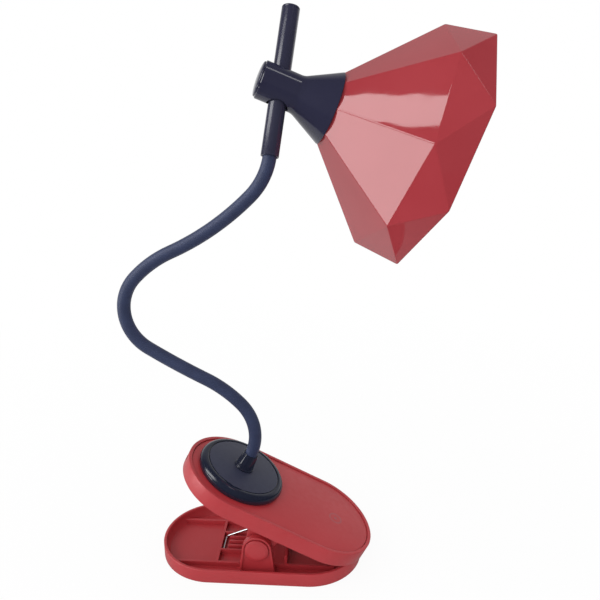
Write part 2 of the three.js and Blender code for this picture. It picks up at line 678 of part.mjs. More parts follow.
place(hinge, 'charging_board', board(USB_BOARD, USB_CENTRE), BOARD());

const usbEnd = UPPER_SHIFT - UPPER_LENGTH / 2 + UPPER_RIM / 2;
const usbZ = BOARD_TOP + GAP + USB_PORT[2] / 2;
place(
  hinge,
  'usb_port',
  cut(
    box(USB_PORT, usbEnd + USB_PORT[0] / 2, 0, usbZ),
    block(
      [usbEnd - 1, USB_WALL - USB_PORT[1] / 2, usbZ + USB_WALL - USB_PORT[2] / 2],
      [usbEnd + USB_MOUTH, USB_PORT[1] / 2 - USB_WALL, usbZ + USB_PORT[2] / 2 - USB_WALL],
    ),
  ),
  STEEL(),
);

// The lead from the charging board to the control board, beside the battery.
function jawLead() {
  const z = BOARD_TOP + GAP + LEAD_RADIUS;
  const y = BATTERY[1] / 2 + 2 * LEAD_RADIUS;
  const rear = batteryX - BATTERY[0] / 2 - 3 * LEAD_RADIUS;
  const front = batteryX + BATTERY[0] / 2 + 3 * LEAD_RADIUS;
  const x0 = USB_CENTRE + USB_BOARD[0] / 2 - FOOT_INSET;
  const x1 = CONTROL_CENTRE - CONTROL_BOARD[0] / 2 + FOOT_INSET;
  const y1 = CONTROL_BOARD[1] / 2 - FOOT_INSET;
  const route = new THREE.CatmullRomCurve3([
    new THREE.Vector3(x0, USB_BOARD[1] / 2 - FOOT_INSET, z),
    new THREE.Vector3(DISC_CENTRE, NUT_RADIUS + 4 * LEAD_RADIUS, z),
    new THREE.Vector3(rear, y - 4 * LEAD_RADIUS, z),
    new THREE.Vector3(rear + 2 * LEAD_RADIUS, y, z),
    new THREE.Vector3(front - 2 * LEAD_RADIUS, y, z),
    new THREE.Vector3(front, y - 4 * LEAD_RADIUS, z),
    new THREE.Vector3(x1, y1, z),
  ]);
  const section = new THREE.Shape(arc(0, 0, LEAD_RADIUS, 0, 288, 4));
  return solid(new THREE.ExtrudeGeometry(section, { steps: 26, extrudePath: route }));
}

place(hinge, 'jaw_lead', jawLead(), RUBBER());

// ---------------------------------------------------------------- gooseneck

// One arc of the neck in its own frame: it starts at the origin along +Z.
// Before its start and past its end it runs on straight.
class NeckArc extends THREE.Curve {
  constructor(length, bend, side) {
    super();
    this.length = length;
    this.angle = rad(Math.hypot(bend, side));
    this.axis = new THREE.Vector3(side, bend, 0).normalize();
    this.lean = this.axis.clone().cross(new THREE.Vector3(0, 0, 1));
    this.from = 0;
    this.to = length;
  }

  at(distance) {
    const within = THREE.MathUtils.clamp(distance, 0, this.length);
    const radius = this.length / this.angle;
    const turn = within / radius;
    const point = this.lean.clone().multiplyScalar(radius * (1 - Math.cos(turn)));
    point.z += radius * Math.sin(turn);
    const heading = new THREE.Vector3(0, 0, 1).applyAxisAngle(this.axis, turn);
    return point.addScaledVector(heading, distance - within);
  }

  getPoint(t, target = new THREE.Vector3()) {
    return target.copy(this.at(this.from + t * (this.to - this.from)));
  }
}

// A round bar or tube that follows part of an arc.
function along(path, from, to, radius, bore, sides) {
  path.from = from;
  path.to = to;
  const section = new THREE.Shape(arc(0, 0, radius, 0, 360 - 360 / sides, sides - 1));
  if (bore) section.holes.push(new THREE.Path(arc(0, 0, bore, 0, 360 - 360 / sides, sides - 1)));
  const steps = Math.ceil((to - from) / NECK_STEP);
  return solid(new THREE.ExtrudeGeometry(section, { steps, extrudePath: path }));
}

const FREE_ANGLE = rad((NECK_LIMIT + NECK_MARGIN) / 2);
const SLEEVE_SETBACK = SLEEVE_RADIUS * Math.tan(FREE_ANGLE);
const TIP_RADIUS = CORE_RADIUS / 3;
const TIP_HEIGHT = (CORE_RADIUS - TIP_RADIUS) * Math.tan(FREE_ANGLE);
const CORE_SETBACK = TIP_GAP + TIP_HEIGHT;
const CORE_SIDES = 6;
const SLEEVE_SIDES = 10;

// The blunt cone on a core's end that lets two segments tilt against each other.
function tip(direction) {
  const profile = [
    [0, -TIP_ROOT],
    [CORE_RADIUS - TIP_STEP, -TIP_ROOT],
    [CORE_RADIUS - TIP_STEP, 0],
    [TIP_RADIUS, TIP_HEIGHT],
    [0, TIP_HEIGHT],
  ];
  const geometry = new THREE.LatheGeometry(
    profile.map(([radius, height]) => new THREE.Vector2(radius, height)),
    CORE_SIDES,
  ).rotateX(Math.PI / 2);
  return direction > 0 ? geometry : geometry.rotateX(Math.PI);
}

let carrier = new THREE.Group();
carrier.name = 'neck_root';
carrier.position.set(DISC_CENTRE, 0, NECK_ROOT);
hinge.add(carrier);

NECK_LENGTHS.forEach((length, i) => {
  const path = new NeckArc(length, NECK_BENDS[i], NECK_SIDES[i]);
  const first = i === 0;
  const last = i === NECK_LENGTHS.length - 1;
  const spigotEnd = NUT_TOP - NUT_HEIGHT - NECK_ROOT;
  const sleeveFrom = first ? SOCKET_OVERLAP + 2 * GAP : SLEEVE_SETBACK;
  const sleeveTo = last ? length + NECK_INSERTION : length - SLEEVE_SETBACK;
  const coreFrom = first ? spigotEnd : CORE_SETBACK;
  const coreTo = last ? length + CORE_INSERTION : length - CORE_SETBACK;
  const sleeve = along(path, sleeveFrom, sleeveTo, SLEEVE_RADIUS, SLEEVE_BORE, SLEEVE_SIDES);
  let core = along(path, coreFrom, coreTo, CORE_RADIUS, 0, CORE_SIDES);
  if (!first) {
    core = core.add(solid(tip(-1).translate(0, 0, CORE_SETBACK)));
  }
  if (!last) {
    const forward = tip(1).translate(0, 0, -CORE_SETBACK);
    const end = path.at(length);
    forward.applyMatrix4(new THREE.Matrix4().makeRotationAxis(path.axis, path.angle));
    core = core.add(solid(forward.translate(end.x, end.y, end.z)));
  }
  place(carrier, `neck_sleeve_${i + 1}`, sleeve, SILICONE());
  place(carrier, `neck_core_${i + 1}`, core, STEEL());
  const next = new THREE.Group();
  next.name = last ? 'rod_foot' : `neck_joint_${i + 1}`;
  next.position.copy(path.at(length));
  next.quaternion.setFromAxisAngle(path.axis, path.angle);
  carrier.add(next);
  carrier = next;
});

// ---------------------------------------------------------------- rod

const rod = carrier;

function rodTube() {
  const tube = cut(
    drum(ROD_RADIUS, 0, ROD_LENGTH, 0, 0, MEDIUM),
    drum(ROD_BORE, -1, ROD_LENGTH + 1, 0, 0, MEDIUM),
  );
  const from = HEAD_HEIGHT - SLIDE_DOWN - SLOT_WIDTH;
  const to = HEAD_HEIGHT + SLIDE_UP + SLOT_WIDTH;
  return cut(tube, block([-SLOT_WIDTH / 2, 0, from], [SLOT_WIDTH / 2, 2 * ROD_RADIUS, to]));
}

place(rod, 'rod_tube', rodTube(), NAVY());

const plugRadius = ROD_BORE - FIT;
const rodCap = turned([
  [0, ROD_LENGTH - ROD_CAP_PLUG],
  [plugRadius, ROD_LENGTH - ROD_CAP_PLUG],
  [plugRadius, ROD_LENGTH + GAP],
  [ROD_RADIUS, ROD_LENGTH + GAP],
  ...quarterRound(ROD_RADIUS - ROD_CAP_HEIGHT, ROD_LENGTH + GAP, ROD_CAP_HEIGHT, ROD_CAP_HEIGHT, 2),
  [0, ROD_LENGTH + GAP + ROD_CAP_HEIGHT],
], MEDIUM);
place(rod, 'rod_cap', rodCap, NAVY());

const leadFrom = CORE_INSERTION + GAP;
place(rod, 'rod_lead', drum(ROD_BORE / 2, leadFrom, HEAD_HEIGHT), RUBBER());

// ---------------------------------------------------------------- head

const hub = new THREE.Group();
hub.name = 'hub';
hub.position.z = HEAD_HEIGHT;
hub.rotation.z = rad(HEAD_TURN);
rod.add(hub);

// The bush slides on the rod; the head turns on the bush. Its window passes the lead.
const bush = cut(
  drum(BUSH_RADIUS, -BUSH_LENGTH / 2, BUSH_LENGTH / 2, 0, 0, MEDIUM),
  drum(BUSH_BORE, -BUSH_LENGTH, BUSH_LENGTH, 0, 0, MEDIUM),
  block([-SLOT_WIDTH, 0, -SLOT_WIDTH], [SLOT_WIDTH, 2 * BUSH_RADIUS, SLOT_WIDTH]),
);
place(hub, 'slide_bush', bush, RUBBER());

const head = new THREE.Group();
head.name = 'head';
head.rotation.y = rad(90 + SHADE_DROOP);
hub.add(head);

// Places round the head's axis where the screws stand.
const HEAD_SCREW_SPOTS = [];
for (let i = 0; i < HEAD_SCREWS; i += 1) {
  const angle = (2 * Math.PI * i) / HEAD_SCREWS;
  HEAD_SCREW_SPOTS.push([HEAD_SCREW_CIRCLE * Math.cos(angle), HEAD_SCREW_CIRCLE * Math.sin(angle)]);
}

function coneRadiusAt(z) {
  const share = (z - BARREL_FRONT) / (CONE_FRONT - BARREL_FRONT);
  return BARREL_RADIUS + share * (CONE_RADIUS - BARREL_RADIUS);
}

function headHousing() {
  const outer = turned([
    [0, -BARREL_BACK],
    [BARREL_RADIUS, -BARREL_BACK],
    [BARREL_RADIUS, BARREL_FRONT],
    [CONE_RADIUS, CONE_FRONT],
    [0, CONE_FRONT],
  ]);
  const room = turned([
    [0, BARREL_FRONT],
    [coneRadiusAt(BARREL_FRONT) - HOUSING_WALL, BARREL_FRONT],
    [CONE_RADIUS - HOUSING_WALL, CONE_FRONT],
    [CONE_RADIUS - HOUSING_WALL, CONE_FRONT + 1],
    [0, CONE_FRONT + 1],
  ]);
  let housing = cut(outer, room);
  for (const [x, y] of HEAD_SCREW_SPOTS) {
    housing = housing.add(outer.intersect(drum(HEAD_BOSS_RADIUS, BARREL_FRONT, CONE_FRONT, x, y)));
    const depth = CONE_FRONT - HEAD_SCREW_LENGTH;
    housing = housing.subtract(drum(SCREW_HOLE, depth, CONE_FRONT + 1, x, y));
  }
  const bore = new THREE.CylinderGeometry(BARREL_BORE, BARREL_BORE, 4 * BARREL_RADIUS, MEDIUM);
  bore.rotateX(Math.PI / 2).rotateY(-rad(90 + SHADE_DROOP));
  return cut(
    housing,
    solid(bore),
    drum(WIRE_HOLE, 0, CONE_FRONT),
    drum(CAP_PLUG_RADIUS + FIT, -BARREL_BACK - 1, CAP_PLUG + GAP - BARREL_BACK, 0, 0, MEDIUM),
  );
}

place(head, 'head_housing', headHousing(), NAVY());

const capBack = BARREL_BACK + GAP;
const barrelCap = turned([
  ...quarterRound(0, capBack, BARREL_RADIUS - CAP_SHOULDER, CAP_DOME, EDGE_STEPS)
    .map(([radius, height]) => [radius, -height])
    .reverse(),
  [CAP_PLUG_RADIUS, -capBack],
  [CAP_PLUG_RADIUS, CAP_PLUG - BARREL_BACK],
  [0, CAP_PLUG - BARREL_BACK],
], MEDIUM);
place(head, 'barrel_cap', barrelCap, NAVY());

// The corners of an even-sided ring round the axis.
function ring(radius, height, turn, sides) {
  const corners = [];
  for (let i = 0; i < sides; i += 1) {
    const angle = rad(turn + (360 * i) / sides);
    corners.push([radius * Math.cos(angle), radius * Math.sin(angle), height]);
  }
  return corners;
}

// The faceted solid inside the shade's outer or inner skin: a pyramid from the neck to the
// widest ring of corners, then a band of triangles to the rim, which is turned by half a side.
function gem(neckRadius, midRadius, rimRadius, neck, mid, rim) {
  const half = 180 / SHADE_SIDES;
  const rings = [
    ring(neckRadius, neck, SHADE_CLOCKING, SHADE_SIDES),
    ring(midRadius, mid, SHADE_CLOCKING, SHADE_SIDES),
    ring(rimRadius, rim, SHADE_CLOCKING + half, SHADE_SIDES),
  ];
  const positions = [];
  const facet = (...corners) => corners.forEach((corner) => positions.push(...corner));
  const [low, middle, high] = rings;
  for (let i = 0; i < SHADE_SIDES; i += 1) {
    const j = (i + 1) % SHADE_SIDES;
    facet([0, 0, neck], low[j], low[i]);
    facet(low[i], low[j], middle[j]);
    facet(low[i], middle[j], middle[i]);
    facet(middle[i], middle[j], high[i]);
    facet(middle[j], high[j], high[i]);
    facet([0, 0, rim], high[i], high[j]);
  }
  const geometry = new THREE.BufferGeometry();
  geometry.setAttribute('position', new THREE.Float32BufferAttribute(positions, 3));
  return solid(geometry);
}

function shade() {
  const slope = Math.atan2(SHADE_MID_RADIUS - SHADE_NECK_RADIUS, SHADE_MID);
  const shift = SHADE_WALL / Math.cos(slope) / Math.cos(Math.PI / SHADE_SIDES);
  const start = WEB_BACK + WEB_THICKNESS;
  const grow = ((SHADE_MID_RADIUS - SHADE_NECK_RADIUS) / SHADE_MID) * WEB_THICKNESS;
  const skin = gem(
    SHADE_NECK_RADIUS,
    SHADE_MID_RADIUS,
    SHADE_RIM_RADIUS,
    WEB_BACK,
    CONE_FRONT + SHADE_MID,
    CONE_FRONT + SHADE_DEPTH,
  );
  const hollow = gem(
    SHADE_NECK_RADIUS + grow - shift,
    SHADE_MID_RADIUS - shift,
    SHADE_RIM_RADIUS - SHADE_WALL / Math.cos(Math.PI / SHADE_SIDES),
    start,
    CONE_FRONT + SHADE_MID,
    CONE_FRONT + SHADE_DEPTH + WELD,
  );
  const hole = (radius, x, y) => drum(radius, CONE_FRONT, start + 1, x, y);
  const holes = HEAD_SCREW_SPOTS.map(([x, y]) => hole(SCREW_HOLE, x, y));
  return cut(skin, hollow, hole(WIRE_HOLE, 0, 0), ...holes);
}

place(head, 'shade', shade(), RED_GLOSS());

const sinkHoles = () =>
  HEAD_SCREW_SPOTS.map(([x, y]) => drum(SCREW_HOLE, SINK_BACK - 1, LED_BOARD_FACE + 1, x, y));

const heatSink = turned([
  [0, SINK_BACK],
  [SINK_STEM_RADIUS, SINK_BACK],
  [SINK_STEM_RADIUS, SINK_FACE - SINK_PLATE],
  [SINK_RADIUS, SINK_FACE - SINK_PLATE],
  [SINK_RADIUS, SINK_FACE],
  [0, SINK_FACE],
], MEDIUM);
const leadWay = drum(WIRE_HOLE, SINK_BACK - 1, LED_BOARD_BACK);
place(head, 'heat_sink', cut(heatSink, leadWay, ...sinkHoles()), ALUMINIUM());

function ledBoard() {
  let plate = drum(LED_BOARD_RADIUS, LED_BOARD_BACK, LED_BOARD_FACE, 0, 0, MEDIUM);
  for (let i = 0; i < LED_COUNT; i += 1) {
    const angle = (2 * Math.PI * (i + 0.5)) / LED_COUNT;
    const x = LED_CIRCLE * Math.cos(angle);
    const y = LED_CIRCLE * Math.sin(angle);
    plate = plate.add(box(LED_SIZE, x, y, LED_BOARD_FACE + LED_SIZE[2] / 2 - JOINING));
  }
  return cut(plate, ...sinkHoles());
}

place(head, 'led_board', ledBoard(), OPAL());

function diffuser() {
  const base = SINK_FACE + GAP;
  const inner = DIFFUSER_RADIUS - DIFFUSER_WALL;
  const top = base + DIFFUSER_SKIRT;
  const dome = (radius, start) => quarterRound(0, start, radius, DIFFUSER_DOME, EDGE_STEPS);
  return turned([
    [inner, base],
    [DIFFUSER_RADIUS, base],
    ...dome(DIFFUSER_RADIUS, top),
    ...dome(inner, top - DIFFUSER_WALL).reverse(),
    [inner, base],
  ], MEDIUM);
}

place(head, 'diffuser', diffuser(), OPAL());

HEAD_SCREW_SPOTS.forEach(([x, y], i) => {
  const headFrom = LED_BOARD_FACE + GAP;
  const headTo = headFrom + SCREW_HEAD_HEIGHT;
  const end = CONE_FRONT - HEAD_SCREW_LENGTH + SCREW_END_ROOM;
  const shank = drum(SCREW_RADIUS, end, headTo, x, y);
  const screwHead = drum(SCREW_HEAD_RADIUS, headFrom, headTo, x, y);
  place(head, `head_screw_${i + 1}`, join(shank, screwHead), STEEL());
});

const leadStart = BARREL_BORE / Math.cos(rad(SHADE_DROOP)) + GAP;
place(
  head,
  'head_lead',
  drum(WIRE_HOLE - FIT, leadStart, LED_BOARD_BACK - GAP),
  RUBBER(),
);

export default lamp;
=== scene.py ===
"""Clip-on reading lamp: the fine shape and the finish of each piece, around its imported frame."""

import json
import math

import bmesh
import bpy
from mathutils import Matrix, Quaternion, Vector


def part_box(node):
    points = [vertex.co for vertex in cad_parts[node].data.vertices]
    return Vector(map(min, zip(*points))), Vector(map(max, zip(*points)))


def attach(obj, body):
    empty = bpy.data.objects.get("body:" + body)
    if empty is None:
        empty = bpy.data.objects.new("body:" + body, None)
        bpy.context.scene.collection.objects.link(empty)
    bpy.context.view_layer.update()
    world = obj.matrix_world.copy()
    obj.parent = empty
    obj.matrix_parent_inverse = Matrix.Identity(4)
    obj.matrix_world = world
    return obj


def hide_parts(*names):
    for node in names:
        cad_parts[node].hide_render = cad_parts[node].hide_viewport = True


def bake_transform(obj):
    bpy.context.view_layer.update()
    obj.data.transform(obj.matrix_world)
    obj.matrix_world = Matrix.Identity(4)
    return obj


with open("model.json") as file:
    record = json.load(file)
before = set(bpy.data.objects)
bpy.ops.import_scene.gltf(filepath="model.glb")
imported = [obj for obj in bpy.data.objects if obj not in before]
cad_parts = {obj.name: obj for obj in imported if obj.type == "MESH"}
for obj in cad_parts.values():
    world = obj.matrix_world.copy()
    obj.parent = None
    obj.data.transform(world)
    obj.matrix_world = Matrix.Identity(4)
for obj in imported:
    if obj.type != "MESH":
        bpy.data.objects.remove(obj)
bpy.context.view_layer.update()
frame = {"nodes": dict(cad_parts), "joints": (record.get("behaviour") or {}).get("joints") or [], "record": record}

# ------------ sizes that the frame doesn't give

MM = 0.001
GAP = 0.3 * MM  # between pieces that rest on each other
TOUCH = 0.001 * MM  # what counts as the same place
OUTLINE = 128  # sides of a jaw's outline
TURNED = 96  # sides of a turned piece
DOME_END = 88  # degrees to which a dome is rounded, before a small flat closes it
UP = Vector((0, 0, 1))

RIM_TOP = 8.6 * MM  # lower jaw's rim above the standing surface
RIM = 1.6 * MM
WALL_DRAFT = 2.2 * MM
WALL_STEPS = ((0.12, 0.3), (0.28, 0.4), (0.6, 0.3))  # shares of its draft and of its depth
MOULDED_EDGE = 0.3 * MM
FLOOR_TOP = 1.9 * MM
RIB_TOP = 4.8 * MM
LONG_RIB_MARGIN = 12 * MM
RIB = 1.6 * MM
RIB_EDGE = 0.2 * MM
TRAY_RIB_X = -25 * MM
LONG_RIB_END = 44 * MM
CROSS_RIB_X = 15 * MM
CROSS_RIB_TOP = 10 * MM
SEAT_RIBS = 5
SEAT_RIB_PITCH = 4 * MM
SEAT_RIB = 1.2 * MM
SHORT_RIB_ENDS = (-20.5 * MM, -10 * MM)
SEAT_END = 1 * MM
BITE_GAP = 0.45 * MM

EAR_OUTER = 25 * MM
EAR_THICKNESS = 3.4 * MM
EAR_LIP = 0.4 * MM
EAR_LIP_WIDTH = 1.2 * MM
EAR_RECESS = 1.0 * MM
EAR_RADIUS = 8.4 * MM
EAR_FOOT = 10.6 * MM
EAR_EASE = math.radians(8)
JAW_EAR_OUTER = 20.9 * MM
JAW_EAR_THICKNESS = 3.0 * MM
JAW_EAR_RADIUS = 7.4 * MM
JAW_EAR_ROOT = 12 * MM
JAW_EAR_EDGE = 0.4 * MM
PIN_HOLE = 2.7 * MM
BOSS_RADIUS = 6.8 * MM
BOSS_RIM = 0.6 * MM
BOSS_DOME = 1.1 * MM

UPPER_LENGTH = 120.2 * MM
UPPER_WIDTH = 64.7 * MM
UPPER_SHIFT = 1.39 * MM
UPPER_BOTTOM = 15.9 * MM  # underside from the pin
UPPER_HEIGHT = 9.3 * MM
UPPER_FLOOR = 1.5 * MM
UPPER_RIM = 2.1 * MM
UPPER_LEDGE = 1.7 * MM
COVER_THICKNESS = 1.6 * MM
COVER_RECESS = 0.6 * MM
COVER_PLAY = 0.25 * MM
COVER_EDGE = 0.25 * MM
PORT_WALL = 0.35 * MM
PORT_EDGE = 0.08 * MM
TONGUE_EDGE = 0.1 * MM
TONGUE_WIDTH = 0.72  # of the port's width
TONGUE_HEIGHT = 0.24  # of the port's height
SCREW_HEAD_RADIUS = 2.1 * MM
SCREW_HEAD_HEIGHT = 1.1 * MM
SCREW_HEAD_CHAMFER = (0.5 * MM, 0.45 * MM)  # its width and its height
SCREW_SHANK = 1.1 * MM
COVER_SCREWS = [f"cover_screw_{i + 1}" for i in range(4)]
CROSS_RECESS = (1.3 * MM, 0.26 * MM)  # half its length and half its width
CROSS_RECESS_DEPTH = 0.6 * MM
TOUCH_MARK = 36.3 * MM  # from the middle of the jaw
TOUCH_MARK_RADIUS = 4.3 * MM
DOT_COVER = 0.5  # of the ink, at the middle of the mark
TOUCH_MARK_STOPS = (  # share of twice the mark's radius, cover of the ink
    (0.1, DOT_COVER), (0.14, 0.0), (0.36, 0.0), (0.40, 0.42), (0.47, 0.42), (0.52, 0.0))

DISC_FLAT_RADIUS = 21.9 * MM
DISC_GROOVE = 0.5 * MM
GROOVE_WIDTH = 0.7 * MM
DISC_LAND = 1.4 * MM
ROLL_DROP = 0.8 * MM
ROLL_UNDERCUT = 0.6 * MM
DISC_EDGE = 0.12 * MM
SOCKET_FOOT = 0.6 * MM
SOCKET_FLANGE = 0.6 * MM  # of the foot beyond the cone
SOCKET_STEP = 0.2 * MM
SOCKET_EDGE = 0.25 * MM
SOCKET_OVERLAP = 1.5 * MM  # of the socket past the start of the neck's bend
SOCKET_RECESS = 1.2 * MM

WIRE_RADIUS = 0.65 * MM
COIL_RADIUS = 5.4 * MM
COIL_TURNS = 6
COIL_HALF_LENGTH = 6 * MM
COIL_STEPS = 24  # in each turn
BAIL_REACH = 22.6 * MM
BAIL_LENGTH = 12.4 * MM
WIRE_BEND = 1.6 * MM  # inner radius of the bend into a bail

SLEEVE_RADIUS = 3.7 * MM
NECK_SPACING = 1.2 * MM
NECK_INSERTION = 8 * MM

ROD_RADIUS = 4.75 * MM
ROD_WALL = 0.75 * MM
ROD_EDGE = 0.15 * MM
ROD_CAP_EDGE = 0.8 * MM
SLOT_WIDTH = 1.8 * MM
SLIDE_DOWN = 20 * MM
SLIDE_UP = 26 * MM
HEAD_TURN = math.radians(8)
BARREL_BORE = 5.85 * MM
BARREL_RADIUS = 10 * MM
BARREL_BACK = 10.7 * MM
BARREL_FRONT = 10.2 * MM
BARREL_EDGE = 0.35 * MM
CONE_FRONT = 28.5 * MM
CONE_RADIUS = 19.45 * MM
CONE_FILLET = 7 * MM
HOUSING_WALL = 2 * MM
CAP_PLUG_RADIUS = 6.5 * MM
CAP_PLUG = 2 * MM
CAP_DOME = 1.5 * MM
CAP_INSET = 0.8 * MM  # of the cap's side from the barrel's
CAP_SIDE = 0.4 * MM
SHADE_SIDES = 8
SHADE_NECK_RADIUS = 19.1 * MM
SHADE_MID_RADIUS = 61.6 * MM
SHADE_MID = 40.5 * MM
SHADE_RIM_RADIUS = 66.8 * MM
SHADE_DEPTH = 59.9 * MM
SHADE_WALL = 2 * MM
SHADE_EDGE = 0.45 * MM
SHADE_CREASE = 9  # degrees between facets that count as an edge
DIFFUSER_RADIUS = 20.6 * MM
DIFFUSER_WALL = 1.4 * MM
DIFFUSER_SKIRT = 5 * MM
DIFFUSER_DOME = 3 * MM
DIFFUSER_EDGE = 0.25 * MM
SCREW_HOLE = 1.4 * MM
WIRE_HOLE = 1.7 * MM

# ------------ reading the frame

JOINTS = {joint["name"]: joint for joint in frame["joints"]}


def joint_at(name):
    return Vector(JOINTS[name]["pos_m"])


def span(node, axis, origin):
    """The lowest and highest distance of a CAD node from an origin, along an axis."""
    reach = [axis.dot(vertex.co - origin) for vertex in frame["nodes"][node].data.vertices]
    return min(reach), max(reach)


def middle(node):
    """The middle of a CAD node's skin, which lies on the axis of a turned one."""
    total = Vector()
    area = 0
    for face in frame["nodes"][node].data.polygons:
        total += face.center * face.area
        area += face.area
    return total / area


def offsets(node, place):
    """The corners of a CAD node from its middle, in a place's own frame."""
    inverse = place.inverted()
    centre = inverse @ middle(node)
    return [inverse @ vertex.co - centre for vertex in frame["nodes"][node].data.vertices]


def seat_of(node, place):
    """The move, in the base plane of a place, to where a CAD node stands over it."""
    spot = place.inverted() @ middle(node)
    return Matrix.Translation(Vector((spot.x, spot.y, 0)))


def standing(origin, z_axis, x_hint):
    """The matrix that takes a piece made upright at the origin to its place."""
    z_axis = z_axis.normalized()
    y_axis = z_axis.cross(x_hint).normalized()
    turn = Matrix((y_axis.cross(z_axis), y_axis, z_axis)).transposed()
    return Matrix.Translation(origin) @ turn.to_4x4()


def facing_up(node):
    """The direction in which the upper faces of a CAD node look."""
    upper = [face for face in frame["nodes"][node].data.polygons if face.normal.z > 0.5]
    return sum((face.normal * face.area for face in upper), Vector()).normalized()


PIVOT = joint_at("clip_squeeze")
JAW_UP = facing_up("cover_plate")
JAW = standing(PIVOT, JAW_UP, Vector((1, 0, 0)))
LOWER_LOW, LOWER_HIGH = (Vector(corner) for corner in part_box("lower_jaw"))
LOWER_LENGTH = LOWER_HIGH.x - LOWER_LOW.x
LOWER_WIDTH = LOWER_HIGH.y - LOWER_LOW.y
LONG_RIB_Y = LOWER_WIDTH / 2 - LONG_RIB_MARGIN
EAR_INNER = EAR_OUTER - EAR_THICKNESS

HUB = joint_at("head_slide")
ROD_UP = Vector(JOINTS["head_slide"]["axis"]).normalized()
HEAD_OUT = (middle("diffuser") - middle("barrel_cap")).normalized()
ROD = standing(HUB, ROD_UP, HEAD_OUT) @ Matrix.Rotation(-HEAD_TURN, 4, "Z")


def farthest_corner(node, origin, axis):
    """The direction, square to an axis, of the corner of a CAD node farthest from it."""
    def aside(corner):
        return corner - origin - axis * axis.dot(corner - origin)
    return max((aside(v.co) for v in frame["nodes"][node].data.vertices), key=lambda a: a.length)


HEAD = standing(HUB, HEAD_OUT, farthest_corner("shade", HUB, HEAD_OUT))

# ------------ camera, light and floor

CAMERA_AT = Vector((41.3, -333.2, 272.1)) * MM
CAMERA_AZIMUTH = math.radians(3.22)
CAMERA_ELEVATION = math.radians(18.35)
CAMERA_ROLL = math.radians(0.19)
CAMERA_LENS = 39.3
CAMERA_SENSOR = 36  # its width, in millimetres as the lens
SKY_LIGHT = 0.85  # soft light from all round
WHITE_SHARE = 0.93  # of plain white in the paper that the camera and the gloss see
WHITE_REACH = (0.15, 0.5)  # from the middle of the paper, over which its shadow fades to white
GLOSS_PAPER = 0.7  # strength of the paper in gloss
GLOSS_FRONT = (-0.1, 0.05)  # along Y, over which it fades in from the front
GLOSS_RIGHT = (0.05, 0.2)  # along X, over which it fades out to the right
BACKDROP_SIDES = (0.35, 0.75)  # how far a mirrored direction looks back, from dark to white
BACKDROP_TOP = 0.4  # how far it looks up where the backdrop is faded
BACKDROP_FADED = 0.32
ROOM_LIGHT = 0.06  # what gloss mirrors of the room outside the paper
AIM = Vector((0.03, -0.03, 0.15))  # where the lights point
SOFT_LIGHTS = (  # name, place from the aim, size, radiance
    ("front_light", Vector((-0.5, -1.15, 0.65)), 0.9, 2.2),
    ("side_light", Vector((-0.95, -0.2, 0.35)), 0.9, 1.6),
    ("top_light", Vector((0.7, 0.1, 1.0)), 0.8, 0.7),
)
# A tall window, which the shade's near facets mirror as a pale field with two dark bars.
WINDOW_CORNER = Vector((-1.166, -0.035, 0))
WINDOW_ALONG = Vector((0.866, -0.5, 0))
WINDOW_OUT = Vector((0.5, 0.866, 0))  # level and square to the glass
WINDOW_PANES = ((0.0, 0.27, 0.66), (0.48, 1.2, 0.84), (1.38, 1.536, 0.84))  # sill, top, width
WINDOW_LIGHT = 5.3
SPOT_AT = Vector((0.67, -0.10, 1.50))
SPOT_SIZE = 0.2
SPOT_LIGHT = 3.0


def linear(colour):
    """An sRGB hex value as the linear colour that a socket takes."""
    def channel(value):
        return value / 12.92 if value <= 0.04045 else ((value + 0.055) / 1.055) ** 2.4
    return [channel(int(colour[i:i + 2], 16) / 255) for i in (0, 2, 4)] + [1.0]


def add(material, kind, settings=None, **links):
    """Add a node with its settings; a link names a socket, with _ for a space, or i and its number."""
    node = material.node_tree.nodes.new(kind)
    for name, value in (settings or {}).items():
        if isinstance(name, str) and name in node.bl_rna.properties:
            setattr(node, name, value)
        else:
            node.inputs[name].default_value = value
    for name, source in links.items():
        socket = int(name[1:]) if name[1:].isdigit() else name.replace("_", " ")
        material.node_tree.links.new(source, node.inputs[socket])
    return node


def blank(name):
    material = bpy.data.materials.new(name)
    material.use_nodes = True
    material.node_tree.nodes.clear()
    return material


def set_camera():
    data = bpy.data.cameras.new("camera")
    data.lens = CAMERA_LENS
    data.sensor_width = CAMERA_SENSOR
    camera = bpy.data.objects.new("camera", data)
    bpy.context.scene.collection.objects.link(camera)
    turn = Matrix.Rotation(CAMERA_AZIMUTH, 4, "Z")
    turn @= Matrix.Rotation(math.pi / 2 - CAMERA_ELEVATION, 4, "X")
    turn @= Matrix.Rotation(CAMERA_ROLL, 4, "Z")
    camera.matrix_world = Matrix.Translation(CAMERA_AT) @ turn
    bpy.context.scene.camera = camera


def softbox(name, position, aim, width, height, radiance, mirrored):
    """A flat light of a given radiance, which either lights the lamp or is mirrored in it."""
    data = bpy.data.lights.new(name, "AREA")
    data.shape = "RECTANGLE"
    data.size = width
    data.size_y = height
    data.energy = radiance * math.pi * width * height
    light = bpy.data.objects.new(name, data)
    light.matrix_world = standing(position, position - aim, (position - aim).cross(UP))
    light.visible_camera = False
    light.visible_diffuse = not mirrored
    light.visible_glossy = mirrored
    light.visible_transmission = mirrored
    bpy.context.scene.collection.objects.link(light)


def fading(*values):
    """Map Range settings: where a fade starts and ends, and the two values that it joins."""
    return dict(zip(("From Min", "From Max", "To Min", "To Max"), values))


def light_path(material):
    """The kinds of ray, and whether one comes from the camera or through glass."""
    path = add(material, "ShaderNodeLightPath")
    through = add(material, "ShaderNodeMath", {"operation": "MAXIMUM"},
                  i0=path.outputs["Is Camera Ray"], i1=path.outputs["Is Transmission Ray"])
    return path, through


